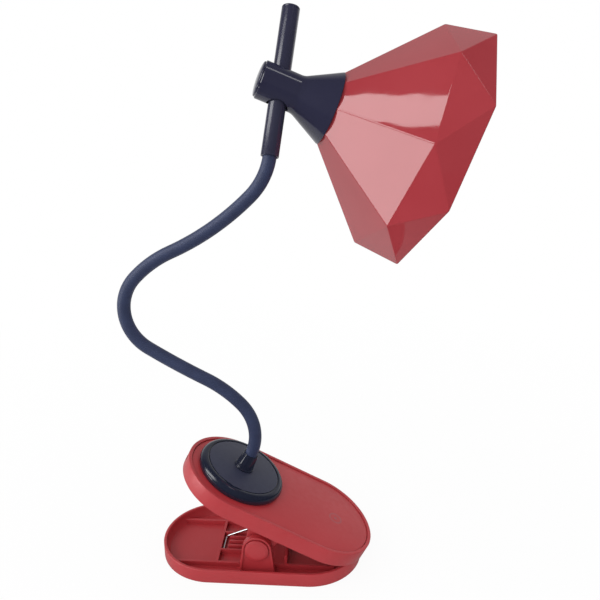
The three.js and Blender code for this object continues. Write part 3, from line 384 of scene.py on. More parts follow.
def set_floor():
    """White paper that takes a soft shadow and is bright to the camera and in reflections."""
    bpy.ops.object.select_all(action="DESELECT")
    bpy.ops.mesh.primitive_plane_add(size=6)
    floor = bpy.context.object
    floor.name = "floor"
    paper = blank("white paper floor")
    matt = add(paper, "ShaderNodeBsdfDiffuse", {"Color": linear("e8e8e8")})
    path, through = light_path(paper)
    place = add(paper, "ShaderNodeTexCoord")
    spot = add(paper, "ShaderNodeSeparateXYZ", None, Vector=place.outputs["Object"])
    paper_edge = add(paper, "ShaderNodeMapRange", fading(*GLOSS_FRONT, 0.0, GLOSS_PAPER),
                     Value=spot.outputs["Y"])
    paper_end = add(paper, "ShaderNodeMapRange", fading(*GLOSS_RIGHT, 1.0, 0.0),
                    Value=spot.outputs["X"])
    paper_seen = add(paper, "ShaderNodeMath", {"operation": "MULTIPLY"},
                     i0=paper_edge.outputs[0], i1=paper_end.outputs[0])
    away = add(paper, "ShaderNodeVectorMath", {"operation": "LENGTH"}, i0=place.outputs["Object"])
    share = add(paper, "ShaderNodeMapRange", fading(*WHITE_REACH, WHITE_SHARE, 1.0),
                Value=away.outputs["Value"])
    seen = add(paper, "ShaderNodeMath", {"operation": "MAXIMUM"},
               i0=through.outputs[0], i1=path.outputs["Is Glossy Ray"])
    part = add(paper, "ShaderNodeMath", {"operation": "MULTIPLY"},
               i0=seen.outputs[0], i1=share.outputs[0])
    strength = add(paper, "ShaderNodeMix", {2: 1.0}, i0=path.outputs["Is Glossy Ray"],
                   i3=paper_seen.outputs[0])
    white = add(paper, "ShaderNodeEmission", None, Strength=strength.outputs[0])
    mixed = add(paper, "ShaderNodeMixShader", None,
                i0=part.outputs[0], i1=matt.outputs[0], i2=white.outputs[0])
    add(paper, "ShaderNodeOutputMaterial", None, Surface=mixed.outputs[0])
    floor.data.materials.append(paper)


def set_world():
    """White for the camera, even light for all else; gloss mirrors a white backdrop that
    fades upwards and a dim room on the camera's side."""
    world = bpy.data.worlds.new("studio")
    bpy.context.scene.world = world
    world.use_nodes = True
    world.node_tree.nodes.clear()
    path, through = light_path(world)
    place = add(world, "ShaderNodeTexCoord")
    way = add(world, "ShaderNodeSeparateXYZ", None, Vector=place.outputs["Generated"])
    behind = add(world, "ShaderNodeMapRange", fading(*BACKDROP_SIDES, 0.0, 1.0),
                 Value=way.outputs["Y"])
    above = add(world, "ShaderNodeMapRange", fading(0.0, BACKDROP_TOP, WHITE_SHARE, BACKDROP_FADED),
                Value=way.outputs["Z"])
    backdrop = add(world, "ShaderNodeMath", {"operation": "MULTIPLY"},
                   i0=behind.outputs[0], i1=above.outputs[0])
    room = add(world, "ShaderNodeMath", {"operation": "ADD", 1: ROOM_LIGHT}, i0=backdrop.outputs[0])
    lit = add(world, "ShaderNodeMix", {2: SKY_LIGHT}, i0=path.outputs["Is Glossy Ray"],
              i3=room.outputs[0])
    strength = add(world, "ShaderNodeMix", {3: 1.0}, i0=through.outputs[0], i2=lit.outputs[0])
    sky = add(world, "ShaderNodeBackground", {"Color": linear("ffffff")},
              Strength=strength.outputs[0])
    add(world, "ShaderNodeOutputWorld", None, Surface=sky.outputs[0])


def set_studio():
    """Soft lights that give no highlight, and a window and a small lamp that only gloss mirrors."""
    set_floor()
    set_world()
    for name, offset, size, radiance in SOFT_LIGHTS:
        softbox(name, AIM + offset, AIM, size, size, radiance, False)
    for sill, top, width in WINDOW_PANES:
        pane = WINDOW_CORNER + width / 2 * WINDOW_ALONG + (sill + top) / 2 * UP
        softbox("window_pane", pane, pane + WINDOW_OUT, width, top - sill, WINDOW_LIGHT, True)
    softbox("lamp", SPOT_AT, AIM, SPOT_SIZE, SPOT_SIZE, SPOT_LIGHT, True)
    bpy.context.scene.view_settings.view_transform = "Standard"


# ------------ finishes

ABS_IOR = 1.54
NOISE_SPAN = (0.3, 0.7)  # between which most of a noise lies


def grain(material, size, detail=2.0):
    """Noise whose lumps are about a given size across."""
    place = add(material, "ShaderNodeTexCoord")
    return add(material, "ShaderNodeTexNoise", {"Scale": 1 / size, "Detail": detail},
               Vector=place.outputs["Object"])


def patches(material, low, high, *lumps):
    """A value that wanders between two limits, in lumps of a given size."""
    return add(material, "ShaderNodeMapRange", fading(*NOISE_SPAN, low, high),
               Value=grain(material, *lumps).outputs[0])


def clouds(material, dark, light, *lumps):
    """Two shades of a colour, in clouds of a given size."""
    share = patches(material, 0.0, 1.0, *lumps)
    return add(material, "ShaderNodeMix", {"data_type": "RGBA", 6: linear(dark), 7: linear(light)},
               i0=share.outputs[0])


def relief(material, height, *lumps):
    """Bumps of a given height and size."""
    return add(material, "ShaderNodeBump", {"Distance": height},
               Height=grain(material, *lumps).outputs[0])


def finish(material, colour, bump, settings, rough=None):
    """Give a material its shader, and return it."""
    links = {"Roughness": rough.outputs[0]} if rough else {}
    skin = add(material, "ShaderNodeBsdfPrincipled", settings,
               Base_Color=colour.outputs[2], Normal=bump.outputs[0], **links)
    add(material, "ShaderNodeOutputMaterial", None, Surface=skin.outputs[0])
    return material


def printed(material, colour, mark):
    """A grey ring and dot, printed where a finger switches the lamp."""
    place = add(material, "ShaderNodeTexCoord")
    spot = JAW @ Matrix.Translation(Vector((UPPER_SHIFT + TOUCH_MARK, 0, 0)))
    local = add(material, "ShaderNodeMapping", {"vector_type": "TEXTURE",
                "Location": spot.translation, "Rotation": spot.to_euler()},
                Vector=place.outputs["Object"])
    flat = add(material, "ShaderNodeVectorMath", {"operation": "MULTIPLY", 1: (1, 1, 0)},
               i0=local.outputs[0])
    away = add(material, "ShaderNodeVectorMath", {"operation": "LENGTH"}, i0=flat.outputs[0])
    share = add(material, "ShaderNodeMath", {"operation": "DIVIDE", 1: 2 * TOUCH_MARK_RADIUS},
                i0=away.outputs["Value"])
    ink = add(material, "ShaderNodeValToRGB", None, Fac=share.outputs[0])
    stops = ink.color_ramp.elements
    for stop, cover in zip(stops, (DOT_COVER, 0.0)):
        stop.color = (cover, cover, cover, 1)
    for position, cover in TOUCH_MARK_STOPS:
        stops.new(position).color = (cover, cover, cover, 1)
    return add(material, "ShaderNodeMix", {"data_type": "RGBA", 7: linear(mark)},
               i0=ink.outputs[0], i6=colour.outputs[2])


def spark_eroded_abs(name, dark, light, mark=None):
    # ABS from a spark-eroded mould: an even satin grain, drawn 0.7 mm wide so that it shows,
    # with slow clouds of colour where the melt flowed and gloss that handling has made uneven.
    material = blank(name)
    colour = clouds(material, dark, light, 22 * MM)
    if mark:
        colour = printed(material, colour, mark)
    rough = patches(material, 0.36, 0.46, 3 * MM)
    bump = relief(material, 0.012 * MM, 0.7 * MM)
    return finish(material, colour, bump, {"IOR": ABS_IOR}, rough)


def polished_abs(name, dark, light, low, high, sink=0.05 * MM):
    # ABS from a smooth mould: gloss on walls that sank a little as they cooled, which bends what
    # they reflect. The rougher it is, the more its reflections blur.
    material = blank(name)
    colour = clouds(material, dark, light, 30 * MM)
    rough = patches(material, low, high, 9 * MM, 4.0)
    bump = relief(material, sink, 24 * MM, 1.0)
    return finish(material, colour, bump, {"IOR": ABS_IOR}, rough)


def silicone(name, dark, light):
    # Silicone skin drawn over the bendable arm: matt and slightly dusty, so its edges look lighter.
    material = blank(name)
    colour = clouds(material, dark, light, 6 * MM, 4.0)
    bump = relief(material, 0.02 * MM, 0.8 * MM)
    return finish(material, colour, bump, {"IOR": 1.41, "Roughness": 0.55,
                  "Sheen Weight": 0.15, "Sheen Roughness": 0.4})


def metal(name, dark, light, low, high, grit):
    # Plated or cast metal: its colour is its reflection, broken up by a fine grit from its making.
    material = blank(name)
    colour = clouds(material, dark, light, 4 * MM)
    rough = patches(material, low, high, grit, 4.0)
    bump = relief(material, 0.01 * MM, grit)
    return finish(material, colour, bump, {"Metallic": 1.0}, rough)


def dull_skin(name, dark, light, rough, ior, lump):
    # Rubber, cable sheath, film and board lacquer: one dull skin with a fine unevenness.
    material = blank(name)
    colour = clouds(material, dark, light, lump, 3.0)
    bump = relief(material, 0.02 * MM, lump / 4)
    return finish(material, colour, bump, {"IOR": ior, "Roughness": rough})


def opal_polycarbonate(name, dark, light):
    # Frosted opal polycarbonate: light scatters inside, so it looks soft and milky.
    material = blank(name)
    colour = clouds(material, dark, light, 12 * MM)
    bump = relief(material, 0.01 * MM, 0.6 * MM)
    return finish(material, colour, bump, {"IOR": 1.58, "Roughness": 0.42,
                  "Subsurface Weight": 0.35, "Subsurface Scale": 4 * MM})


FINISHES = {
    # Jaws, cover and pivot caps: satin, so that finger marks don't show. Their red is the shade's plastic written
    # lighter, as painted light where the clip gets less light.
    "shell_red": spark_eroded_abs("spark-eroded ABS, red", "aa2f35", "ae3339"),
    # Shade: a mirror gloss, in which the window lies pale and a little wavy. Its red is the jaws' plastic written
    # darker, as painted shade where the head gets more light.
    "shade_red": polished_abs("polished ABS, red", "98353b", "9c393f", 0.02, 0.05, 0.12 * MM),
    # Head housing and barrel cap: so dark that their reflections show their form.
    "black_gloss": polished_abs("polished ABS, blue-black", "27273a", "2b2b3e", 0.05, 0.1),
    "silicone_navy": silicone("silicone, navy", "28314f", "2c3656"),
    # Screws, pin, nut and port: grey, with short blurred glints.
    "steel": metal("zinc-plated steel", "9fa3a8", "b1b5ba", 0.28, 0.42, 0.5 * MM),
    # Spring: bright wire that shows the white round it as a thin clean line.
    "spring_chrome": metal("nickel-plated spring wire", "cfd1d4", "dfe1e4", 0.12, 0.22, 0.6 * MM),
    # Base pad: near black, with hardly a shine.
    "rubber_dark": dull_skin("moulded nitrile rubber", "19191b", "202023", 0.85, 1.52, 2 * MM),
    # Sliding bush: dark and waxy.
    "bush_plastic": dull_skin("moulded acetal", "1d1f24", "24262c", 0.5, 1.48, 3 * MM),
    # Leads: smooth and black.
    "cable_black": dull_skin("extruded PVC sheath", "131315", "1a1a1d", 0.5, 1.53, 2 * MM),
    # Boards: green or white under a clear, slightly uneven lacquer.
    "circuit_board": dull_skin("lacquered glass-epoxy board", "17492d", "1f5a38", 0.35, 1.55, 4 * MM),
    "led_board_white": dull_skin("white board lacquer", "e4e3dc", "eeede6", 0.4, 1.55, 4 * MM),
    # Battery: pale film shrunk round the cell.
    "battery_film": dull_skin("shrunk battery film", "87929e", "949fab", 0.35, 1.57, 8 * MM),
    # Heat sink: light grey, with the dull grain of a casting.
    "aluminium": metal("cast aluminium", "b8bbbe", "c8cbce", 0.35, 0.5, 0.8 * MM),
    "opal_plastic": opal_polycarbonate("frosted opal polycarbonate", "efeee8", "f6f5f1"),
}
# The cover's red is also the shade's plastic written lighter, as painted light where the clip gets less light.
COVER_FINISH = spark_eroded_abs("spark-eroded ABS, red, printed", "aa2c32", "ae3036", "84585c")
# Disc's ring and neck socket: deeper than the head, and the ring blurs what it mirrors.
DISC_RING_FINISH = polished_abs("satin ABS, deep blue-black", "181c2c", "1c2030", 0.14, 0.22)
SOCKET_FINISH = polished_abs("polished ABS, deep blue-black", "1a1d2c", "1e2130", 0.06, 0.12)
# Cross rod: lacquer with one soft stripe of light along it.
ROD_FINISH = polished_abs("semi-gloss lacquer, blue-black", "2a2a3d", "2e2e41", 0.17, 0.24)
# Disc's flat face: dull, so it looks paler than its ring.
DISC_FACE_FINISH = dull_skin("spark-eroded ABS, blue-black", "2e3146", "32354a", 0.5, ABS_IOR, 3 * MM)

# ------------ modelling by hand


def only(piece):
    """Select one piece and nothing else."""
    bpy.ops.object.select_all(action="DESELECT")
    piece.select_set(True)
    bpy.context.view_layer.objects.active = piece


def started(name):
    """The primitive just added, with its place in its mesh and everything of it selected."""
    piece = bpy.context.object
    piece.name = name
    only(piece)
    bpy.ops.object.transform_apply(location=True, rotation=True, scale=True)
    bpy.ops.object.mode_set(mode="EDIT")
    bpy.ops.mesh.select_all(action="SELECT")
    return piece


def disc(name, sides, radius, **place):
    """A flat disc, left in edit mode with its face selected."""
    bpy.ops.object.select_all(action="DESELECT")
    bpy.ops.mesh.primitive_circle_add(vertices=sides, radius=radius, fill_type="NGON", **place)
    return started(name)


def choose(piece, kind, wanted):
    """Select the vertices, edges or faces whose middle is wanted."""
    bpy.ops.mesh.select_mode(type=kind[:-1].upper())
    bpy.ops.mesh.select_all(action="DESELECT")
    shape = bmesh.from_edit_mesh(piece.data)
    for item in getattr(shape, kind):
        corners = [item] if kind == "verts" else list(item.verts)
        spot = sum((corner.co for corner in corners), Vector()) / len(corners)
        if wanted(spot):
            item.select_set(True)
    shape.select_flush_mode()
    bmesh.update_edit_mesh(piece.data)


def pull(distance, direction=UP):
    bpy.ops.mesh.extrude_region_move(TRANSFORM_OT_translate={"value": distance * direction})


def pull_to(ring, next_ring):
    """Pull the selected (radius, height) ring out to another."""
    pull(next_ring[1] - ring[1])
    scale = next_ring[0] / ring[0]
    bpy.ops.transform.resize(value=(scale, scale, 1), center_override=(0, 0, next_ring[1]))


def inset(width, sink=0.0):
    bpy.ops.mesh.inset(thickness=width, depth=-sink)


def done(piece):
    """Leave edit mode with every face turned outwards."""
    bpy.ops.mesh.select_all(action="SELECT")
    bpy.ops.mesh.normals_make_consistent(inside=False)
    bpy.ops.object.mode_set(mode="OBJECT")
    return piece


def modify(piece, kind, **settings):
    """Add a modifier, set it and apply it."""
    only(piece)
    bpy.ops.object.modifier_add(type=kind)
    modifier = piece.modifiers[-1]
    for name, value in settings.items():
        setattr(modifier, name, value)
    bpy.ops.object.modifier_apply(modifier=modifier.name)


def soften(piece, width, segments=3, angle=30):
    """Round the edges that are sharper than an angle."""
    modify(piece, "BEVEL", width=width, segments=segments, limit_method="ANGLE",
           angle_limit=math.radians(angle), use_clamp_overlap=True)
    return piece


def combine(piece, operation, *tools):
    """Join tools to a piece, cut them from it or keep what they share; the tools are used up."""
    for tool in tools:
        modify(piece, "BOOLEAN", operation=operation, object=tool, solver="EXACT")
        bpy.data.objects.remove(tool)
    return piece


def put(piece, place):
    """Move a piece made upright at the origin to its place, which stays in its mesh."""
    piece.data.transform(place)
    return piece


def stadium(name, length, width, bottom, middle_x=0.0):
    """A flat sheet with round ends, left in edit mode with its face selected."""
    piece = disc(name, OUTLINE, width / 2, location=(middle_x, 0, bottom),
                 rotation=(0, 0, math.pi / OUTLINE))
    for side in (-1, 1):
        choose(piece, "verts", lambda spot: side * (spot.x - middle_x) > 0)
        bpy.ops.transform.translate(value=(side * (length - width) / 2, 0, 0))
    bpy.ops.mesh.select_all(action="SELECT")
    return piece


def turned(name, profile, sides=TURNED):
    """A turned piece about Z, closed at both ends of its (radius, height) profile."""
    radius, height = profile[0]
    piece = disc(name, sides, radius, location=(0, 0, height))
    for ring, next_ring in zip(profile, profile[1:]):
        pull_to(ring, next_ring)
    return done(piece)


def rounding(centre_radius, centre_height, radius, height, steps=8, start=0, end=90):
    """(radius, height) pairs along part of an ellipse, from its side to its top."""
    pairs = []
    for i in range(steps + 1):
        angle = math.radians(start + (end - start) * i / steps)
        across, up = radius * math.cos(angle), height * math.sin(angle)
        pairs.append((centre_radius + across, centre_height + up))
    return pairs


def block(name, low, high, edge=0.0):
    """A block between two corners, with its edges rounded."""
    low, high = Vector(low), Vector(high)
    bpy.ops.object.select_all(action="DESELECT")
    bpy.ops.mesh.primitive_cube_add(size=1, location=(low + high) / 2, scale=high - low)
    piece = done(started(name))
    return soften(piece, edge) if edge else piece


def drum(name, radius, bottom, top, sides=48):
    bpy.ops.object.select_all(action="DESELECT")
    bpy.ops.mesh.primitive_cylinder_add(
        vertices=sides, radius=radius, depth=top - bottom, location=(0, 0, (bottom + top) / 2))
    return done(started(name))


def ear(name, radius, foot, reach, inner, outer, upwards):
    """A plate in the XZ plane, round about the origin, that widens to its foot."""
    side = 1 if upwards else -1
    piece = disc(name, TURNED, radius, location=(0, inner, 0), rotation=(math.pi / 2, 0, 0))
    level = side * radius * math.sin(EAR_EASE)
    bpy.ops.mesh.bisect(plane_co=(0, 0, level), plane_no=(0, 0, side), clear_inner=True,
                        threshold=TOUCH)
    choose(piece, "edges", lambda spot: abs(spot.z - level) < TOUCH)
    pull(-side * reach - level)
    scale = foot / (radius * math.cos(EAR_EASE))
    bpy.ops.transform.resize(value=(scale, 1, 1), center_override=(0, inner, -side * reach))
    bpy.ops.mesh.select_all(action="SELECT")
    pull(outer - inner, Vector((0, 1, 0)))
    return done(piece)


def finished(piece, slot, body, *nodes, angle=32, material=None):
    """Give a piece its finish and its body, in place of CAD nodes."""
    only(piece)
    bpy.ops.object.shade_smooth_by_angle(angle=math.radians(angle))
    piece.data.materials.clear()
    piece.data.materials.append(material or FINISHES[slot])
    if nodes:
        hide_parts(*nodes)
    if body:
        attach(piece, body)
    return piece


def wire(name, points, radius, resolution=6):
    """A round wire through points, with closed ends."""
    bpy.ops.object.select_all(action="DESELECT")
    bpy.ops.curve.primitive_nurbs_path_add()
    path = bpy.context.object
    path.data.splines.clear()
    line = path.data.splines.new("POLY")
    line.points.add(len(points) - 1)
    for point, spot in zip(line.points, points):
        point.co = (*spot, 1)
    path.data.dimensions = "3D"
    path.data.bevel_depth = radius
    path.data.bevel_resolution = resolution
    path.data.use_fill_caps = True
    only(path)
    bpy.ops.object.convert(target="MESH")
    piece = started(name)
    bpy.ops.mesh.remove_doubles(threshold=TOUCH)
    return done(piece)


# ------------ lower jaw


def lower_jaw():
    base = LOWER_LOW.z
    piece = stadium("lower_jaw_tray", LOWER_LENGTH, LOWER_WIDTH, base)
    pull(RIM_TOP - base)
    inset(RIM)
    for share, drop in WALL_STEPS:
        inset(share * WALL_DRAFT, drop * (RIM_TOP - FLOOR_TOP))
    soften(done(piece), MOULDED_EDGE)

    root = base + RIM / 2
    inner = LONG_RIB_Y - RIB
    ribs = []
    for side in (-1, 1):
        near, far = sorted((side * inner, side * LONG_RIB_Y))
        ribs.append(((-LOWER_LENGTH / 2, near, root), (LONG_RIB_END, far, RIB_TOP)))
    middle_x = inner + RIB / 2
    ribs.append(((TRAY_RIB_X - RIB / 2, -middle_x, root), (TRAY_RIB_X + RIB / 2, middle_x, RIB_TOP)))
    ribs.append(((CROSS_RIB_X, -middle_x, root), (CROSS_RIB_X + RIB, middle_x, CROSS_RIB_TOP)))
    reach = (SEAT_RIBS - 1) / 2 * SEAT_RIB_PITCH
    for i in range(SEAT_RIBS):
        y = i * SEAT_RIB_PITCH - reach
        outermost = i in (0, SEAT_RIBS - 1)
        start, end = (TRAY_RIB_X, SEAT_END) if outermost else SHORT_RIB_ENDS
        ribs.append(((start, y - SEAT_RIB / 2, root), (end, y + SEAT_RIB / 2, RIB_TOP)))
    inside = stadium("inside", LOWER_LENGTH - 2 * RIM, LOWER_WIDTH - 2 * RIM, base)
    pull(CROSS_RIB_TOP)
    done(inside)
    grid = None
    for low, high in ribs:
        rib = block("rib", low, high, RIB_EDGE)
        grid = combine(grid, "UNION", rib) if grid else rib
    combine(grid, "INTERSECT", inside)

    to_pivot = Matrix.Translation(PIVOT)
    ears = [put(lower_ear(side, PIVOT.z - root), to_pivot) for side in (-1, 1)]
    combine(piece, "UNION", grid, *ears)
    pin_hole = put(drum("pin_hole", PIN_HOLE, -LOWER_WIDTH, LOWER_WIDTH),
                   to_pivot @ Matrix.Rotation(math.pi / 2, 4, "X"))
    slot_y = reach - SEAT_RIB / 2
    bail_slot = block("bail_slot", (TRAY_RIB_X + RIB / 2, -slot_y, FLOOR_TOP - WIRE_RADIUS),
                      (PIVOT.x - BAIL_REACH + 2 * WIRE_RADIUS, slot_y, RIM_TOP))
    bite = put(block("bite", (-UPPER_LENGTH, -UPPER_WIDTH, UPPER_BOTTOM - BITE_GAP),
                     (UPPER_LENGTH, UPPER_WIDTH, 2 * UPPER_BOTTOM)), JAW)
    combine(piece, "DIFFERENCE", pin_hole, bail_slot, bite)
    finished(piece, "shell_red", "lower_jaw", "lower_jaw")


def lower_ear(side, height):
    """An ear with a raised lip round the sunk face that its pivot cap covers."""
    outer = side * (EAR_OUTER + EAR_LIP)
    piece = ear("ear", EAR_RADIUS, EAR_FOOT, height, side * EAR_INNER, outer, True)
    only(piece)
    bpy.ops.object.mode_set(mode="EDIT")
    choose(piece, "faces", lambda spot: abs(spot.y - outer) < TOUCH)
    inset(EAR_LIP_WIDTH)
    pull(-side * EAR_RECESS, Vector((0, 1, 0)))
    return soften(done(piece), MOULDED_EDGE)


def base_pad():
    low, high = (Vector(corner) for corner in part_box("base_pad"))
    piece = stadium("base_pad_rubber", high.x - low.x, high.y - low.y, low.z)
    pull(high.z - low.z)
    finished(soften(done(piece), MOULDED_EDGE), "rubber_dark", "lower_jaw", "base_pad")


def pivot_caps():
    for name, side in (("front", -1), ("back", 1)):
        profile = [(BOSS_RADIUS, EAR_LIP - EAR_RECESS), (BOSS_RADIUS, BOSS_RIM)]
        dome = BOSS_RADIUS - BOSS_RIM
        profile += rounding(dome, BOSS_RIM, BOSS_RIM, BOSS_RIM / 2, steps=4)[1:]
        profile += rounding(0, BOSS_RIM * 1.5, dome, BOSS_DOME - BOSS_RIM / 2,
                            steps=10, start=20, end=DOME_END)
        place = Matrix.Translation(Vector((PIVOT.x, side * (EAR_OUTER + GAP), PIVOT.z)))
        place @= Matrix.Rotation(side * -math.pi / 2, 4, "X")
        finished(put(turned(f"pivot_cap_{name}_dome", profile), place),
                 "shell_red", "lower_jaw", f"pivot_cap_{name}")


# ------------ torsion spring


def tangent_angle(point, side):
    """Angle round the pin at which a line from a point touches the coil."""
    return math.atan2(point.z, point.x) - side * math.acos(COIL_RADIUS / point.length)


def round_the_corner(before, corner, after, radius, steps=6):
    """Points of an arc in place of a corner."""
    back = (before - corner).normalized()
    on = (after - corner).normalized()
    half = back.angle(on) / 2
    start = corner + back * radius / math.tan(half)
    centre = corner + (back + on).normalized() * radius / math.sin(half)
    axis = (start - centre).cross(corner - centre).normalized()
    sweep = math.pi - 2 * half
    return [centre + Quaternion(axis, sweep * i / steps) @ (start - centre) for i in range(steps + 1)]


def clip_spring():
    lower = Vector((-BAIL_REACH, 0, FLOOR_TOP + WIRE_RADIUS + GAP - PIVOT.z))
    upper = JAW.to_3x3() @ Vector((-BAIL_REACH, 0, UPPER_BOTTOM - WIRE_RADIUS - GAP))
    first = tangent_angle(lower, -1)
    last = tangent_angle(upper, 1) % (2 * math.pi) + 2 * math.pi * COIL_TURNS
    while last - first > 2 * math.pi * (COIL_TURNS + 1):
        last -= 2 * math.pi
    steps = COIL_STEPS * COIL_TURNS
    coil = []
    for i in range(steps + 1):
        angle = first + (last - first) * i / steps
        y = COIL_HALF_LENGTH * (1 - 2 * i / steps)
        coil.append(Vector((COIL_RADIUS * math.cos(angle), y, COIL_RADIUS * math.sin(angle))))
    legs = []
    for bail, end, side in ((lower, coil[0], 1), (upper, coil[-1], -1)):
        corner = bail + Vector((0, side * COIL_HALF_LENGTH, 0))
        tip = corner - Vector((0, side * BAIL_LENGTH, 0))
        legs.append([end] + round_the_corner(end, corner, tip, WIRE_BEND) + [tip])
    for name, points, body, *nodes in (
        ("clip_spring_lower_leg", legs[0], "lower_jaw"),
        ("clip_spring_coil", coil, None, "clip_spring"),
        ("clip_spring_upper_leg", legs[1], "upper_jaw"),
    ):
        piece = wire(name, [point + PIVOT for point in points], WIRE_RADIUS)
        finished(piece, "spring_chrome", body, *nodes)
        if not body:
            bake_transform(piece)


# ------------ upper jaw


def upper_jaw():
    piece = stadium("upper_jaw_shell", UPPER_LENGTH, UPPER_WIDTH, UPPER_BOTTOM, UPPER_SHIFT)
    pull(UPPER_HEIGHT)
    inset(UPPER_RIM)
    ledge = COVER_RECESS + COVER_THICKNESS + GAP
    pull(-ledge)
    inset(UPPER_LEDGE)
    pull(UPPER_FLOOR - UPPER_HEIGHT + ledge)
    soften(done(piece), MOULDED_EDGE)
    ears = []
    for side in (-1, 1):
        inner = side * (JAW_EAR_OUTER - JAW_EAR_THICKNESS)
        outer = side * JAW_EAR_OUTER
        reach = UPPER_BOTTOM + UPPER_FLOOR / 2
        plate = ear("jaw_ear", JAW_EAR_RADIUS, JAW_EAR_ROOT, reach, inner, outer, False)
        ears.append(soften(plate, JAW_EAR_EDGE))
    combine(piece, "UNION", *ears)
    pin_hole = drum("pin_hole", PIN_HOLE, -UPPER_WIDTH, UPPER_WIDTH)
    holes = [put(pin_hole, Matrix.Rotation(math.pi / 2, 4, "X"))]
    for node in COVER_SCREWS:
        hole = drum("screw_hole", SCREW_HEAD_RADIUS + GAP, 0, UPPER_BOTTOM + SCREW_HEAD_HEIGHT + GAP)
        holes.append(put(hole, seat_of(node, JAW)))
    port_low, port_high = port_box()
    end = UPPER_SHIFT - UPPER_LENGTH / 2
    holes.append(rounded_slot("port_hole", port_high.y - port_low.y + 2 * GAP,
                              port_high.z - port_low.z + 2 * GAP, end - RIM, end + 3 * RIM,
                              (port_low.z + port_high.z) / 2))
    combine(piece, "DIFFERENCE", *holes)
    finished(put(piece, JAW), "shell_red", "upper_jaw", "upper_jaw")


def port_box():
    """The charging port's box in the upper jaw's own frame."""
    inverse = JAW.inverted()
    corners = [inverse @ vertex.co for vertex in frame["nodes"]["usb_port"].data.vertices]
    return tuple(Vector([pick(corner[i] for corner in corners) for i in range(3)])
                 for pick in (min, max))


def rounded_slot(name, width, height, from_x, to_x, z):
    """A bar along X whose section is a slot with round ends."""
    piece = stadium(name, width, height, 0)
    pull(to_x - from_x)
    lying = Matrix(((0, 0, 1), (1, 0, 0), (0, 1, 0))).to_4x4()  # turns Z to X and X to Y
    return put(done(piece), Matrix.Translation(Vector((from_x, 0, z))) @ lying)


def charging_port():
    low, high = port_box()
    width, height, z = high.y - low.y, high.z - low.z, (low.z + high.z) / 2
    piece = rounded_slot("usb_port_shell", width, height, low.x, high.x, z)
    soften(piece, PORT_EDGE, segments=2)
    mouth = rounded_slot("mouth", width - 2 * PORT_WALL, height - 2 * PORT_WALL,
                         low.x - PORT_WALL, high.x - 2 * PORT_WALL, z)
    combine(piece, "DIFFERENCE", mouth)
    across = TONGUE_WIDTH / 2 * width
    up = TONGUE_HEIGHT / 2 * height
    tongue = block("tongue", (low.x + PORT_WALL, -across, z - up),
                   (high.x - PORT_WALL, across, z + up), TONGUE_EDGE)
    combine(piece, "UNION", tongue)
    finished(put(piece, JAW), "steel", "upper_jaw", "usb_port")


def cover_plate():
    inset_by = UPPER_RIM + COVER_PLAY
    top = UPPER_BOTTOM + UPPER_HEIGHT - COVER_RECESS
    piece = stadium("cover_plate_lid", UPPER_LENGTH - 2 * inset_by, UPPER_WIDTH - 2 * inset_by,
                    top - COVER_THICKNESS, UPPER_SHIFT)
    pull(COVER_THICKNESS)
    soften(done(piece), COVER_EDGE)
    finished(put(piece, JAW), "shell_red", "upper_jaw", "cover_plate", material=COVER_FINISH)


def mounting_disc():
    face = span("mounting_disc", JAW_UP, PIVOT)[1]
    radius = max(offset.xy.length for offset in offsets("mounting_disc", JAW))
    seat = UPPER_BOTTOM + UPPER_HEIGHT - COVER_RECESS + GAP / 2
    edge = radius - DISC_FLAT_RADIUS - DISC_LAND
    waist = (seat + face) / 2 - ROLL_DROP
    profile = [(radius - ROLL_UNDERCUT, seat)]
    profile += rounding(radius - edge, waist, edge, face - waist, steps=14)
    profile += [
        (DISC_FLAT_RADIUS + GROOVE_WIDTH, face),
        (DISC_FLAT_RADIUS + GROOVE_WIDTH, face - DISC_GROOVE),
        (DISC_FLAT_RADIUS, face - DISC_GROOVE),
        (DISC_FLAT_RADIUS, face),
    ]
    piece = turned("mounting_disc_ring", profile, sides=128)
    soften(piece, DISC_EDGE, segments=2, angle=40)
    finished(piece, "black_gloss", None, "mounting_disc", material=DISC_RING_FINISH)
    piece.data.materials.append(DISC_FACE_FINISH)
    for polygon in piece.data.polygons:
        inside = max(piece.data.vertices[i].co.xy.length for i in polygon.vertices) < DISC_FLAT_RADIUS
        polygon.material_index = 1 if inside and polygon.center.z > face - DISC_GROOVE else 0
    put(piece, JAW @ seat_of("mounting_disc", JAW))
    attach(piece, "upper_jaw")


def neck_socket():
    low, high = span("neck_socket", JAW_UP, PIVOT)
    corners = offsets("neck_socket", JAW)
    foot = max(corner.xy.length for corner in corners)
    top = max(corner.xy.length for corner in corners if corner.z > 0)
    mouth = SLEEVE_RADIUS + GAP / 2
    profile = [
        (foot + SOCKET_FLANGE, low - GAP),
        (foot + SOCKET_FLANGE, low + SOCKET_FOOT),
        (foot, low + SOCKET_FOOT + SOCKET_STEP),
        (top, high),
        (mouth, high),
        (mouth, high - SOCKET_RECESS),
    ]
    piece = soften(turned("neck_socket_cone", profile, sides=64), SOCKET_EDGE, angle=20)
    put(piece, JAW @ seat_of("neck_socket", JAW))
    finished(piece, "black_gloss", "upper_jaw", "neck_socket", material=SOCKET_FINISH)


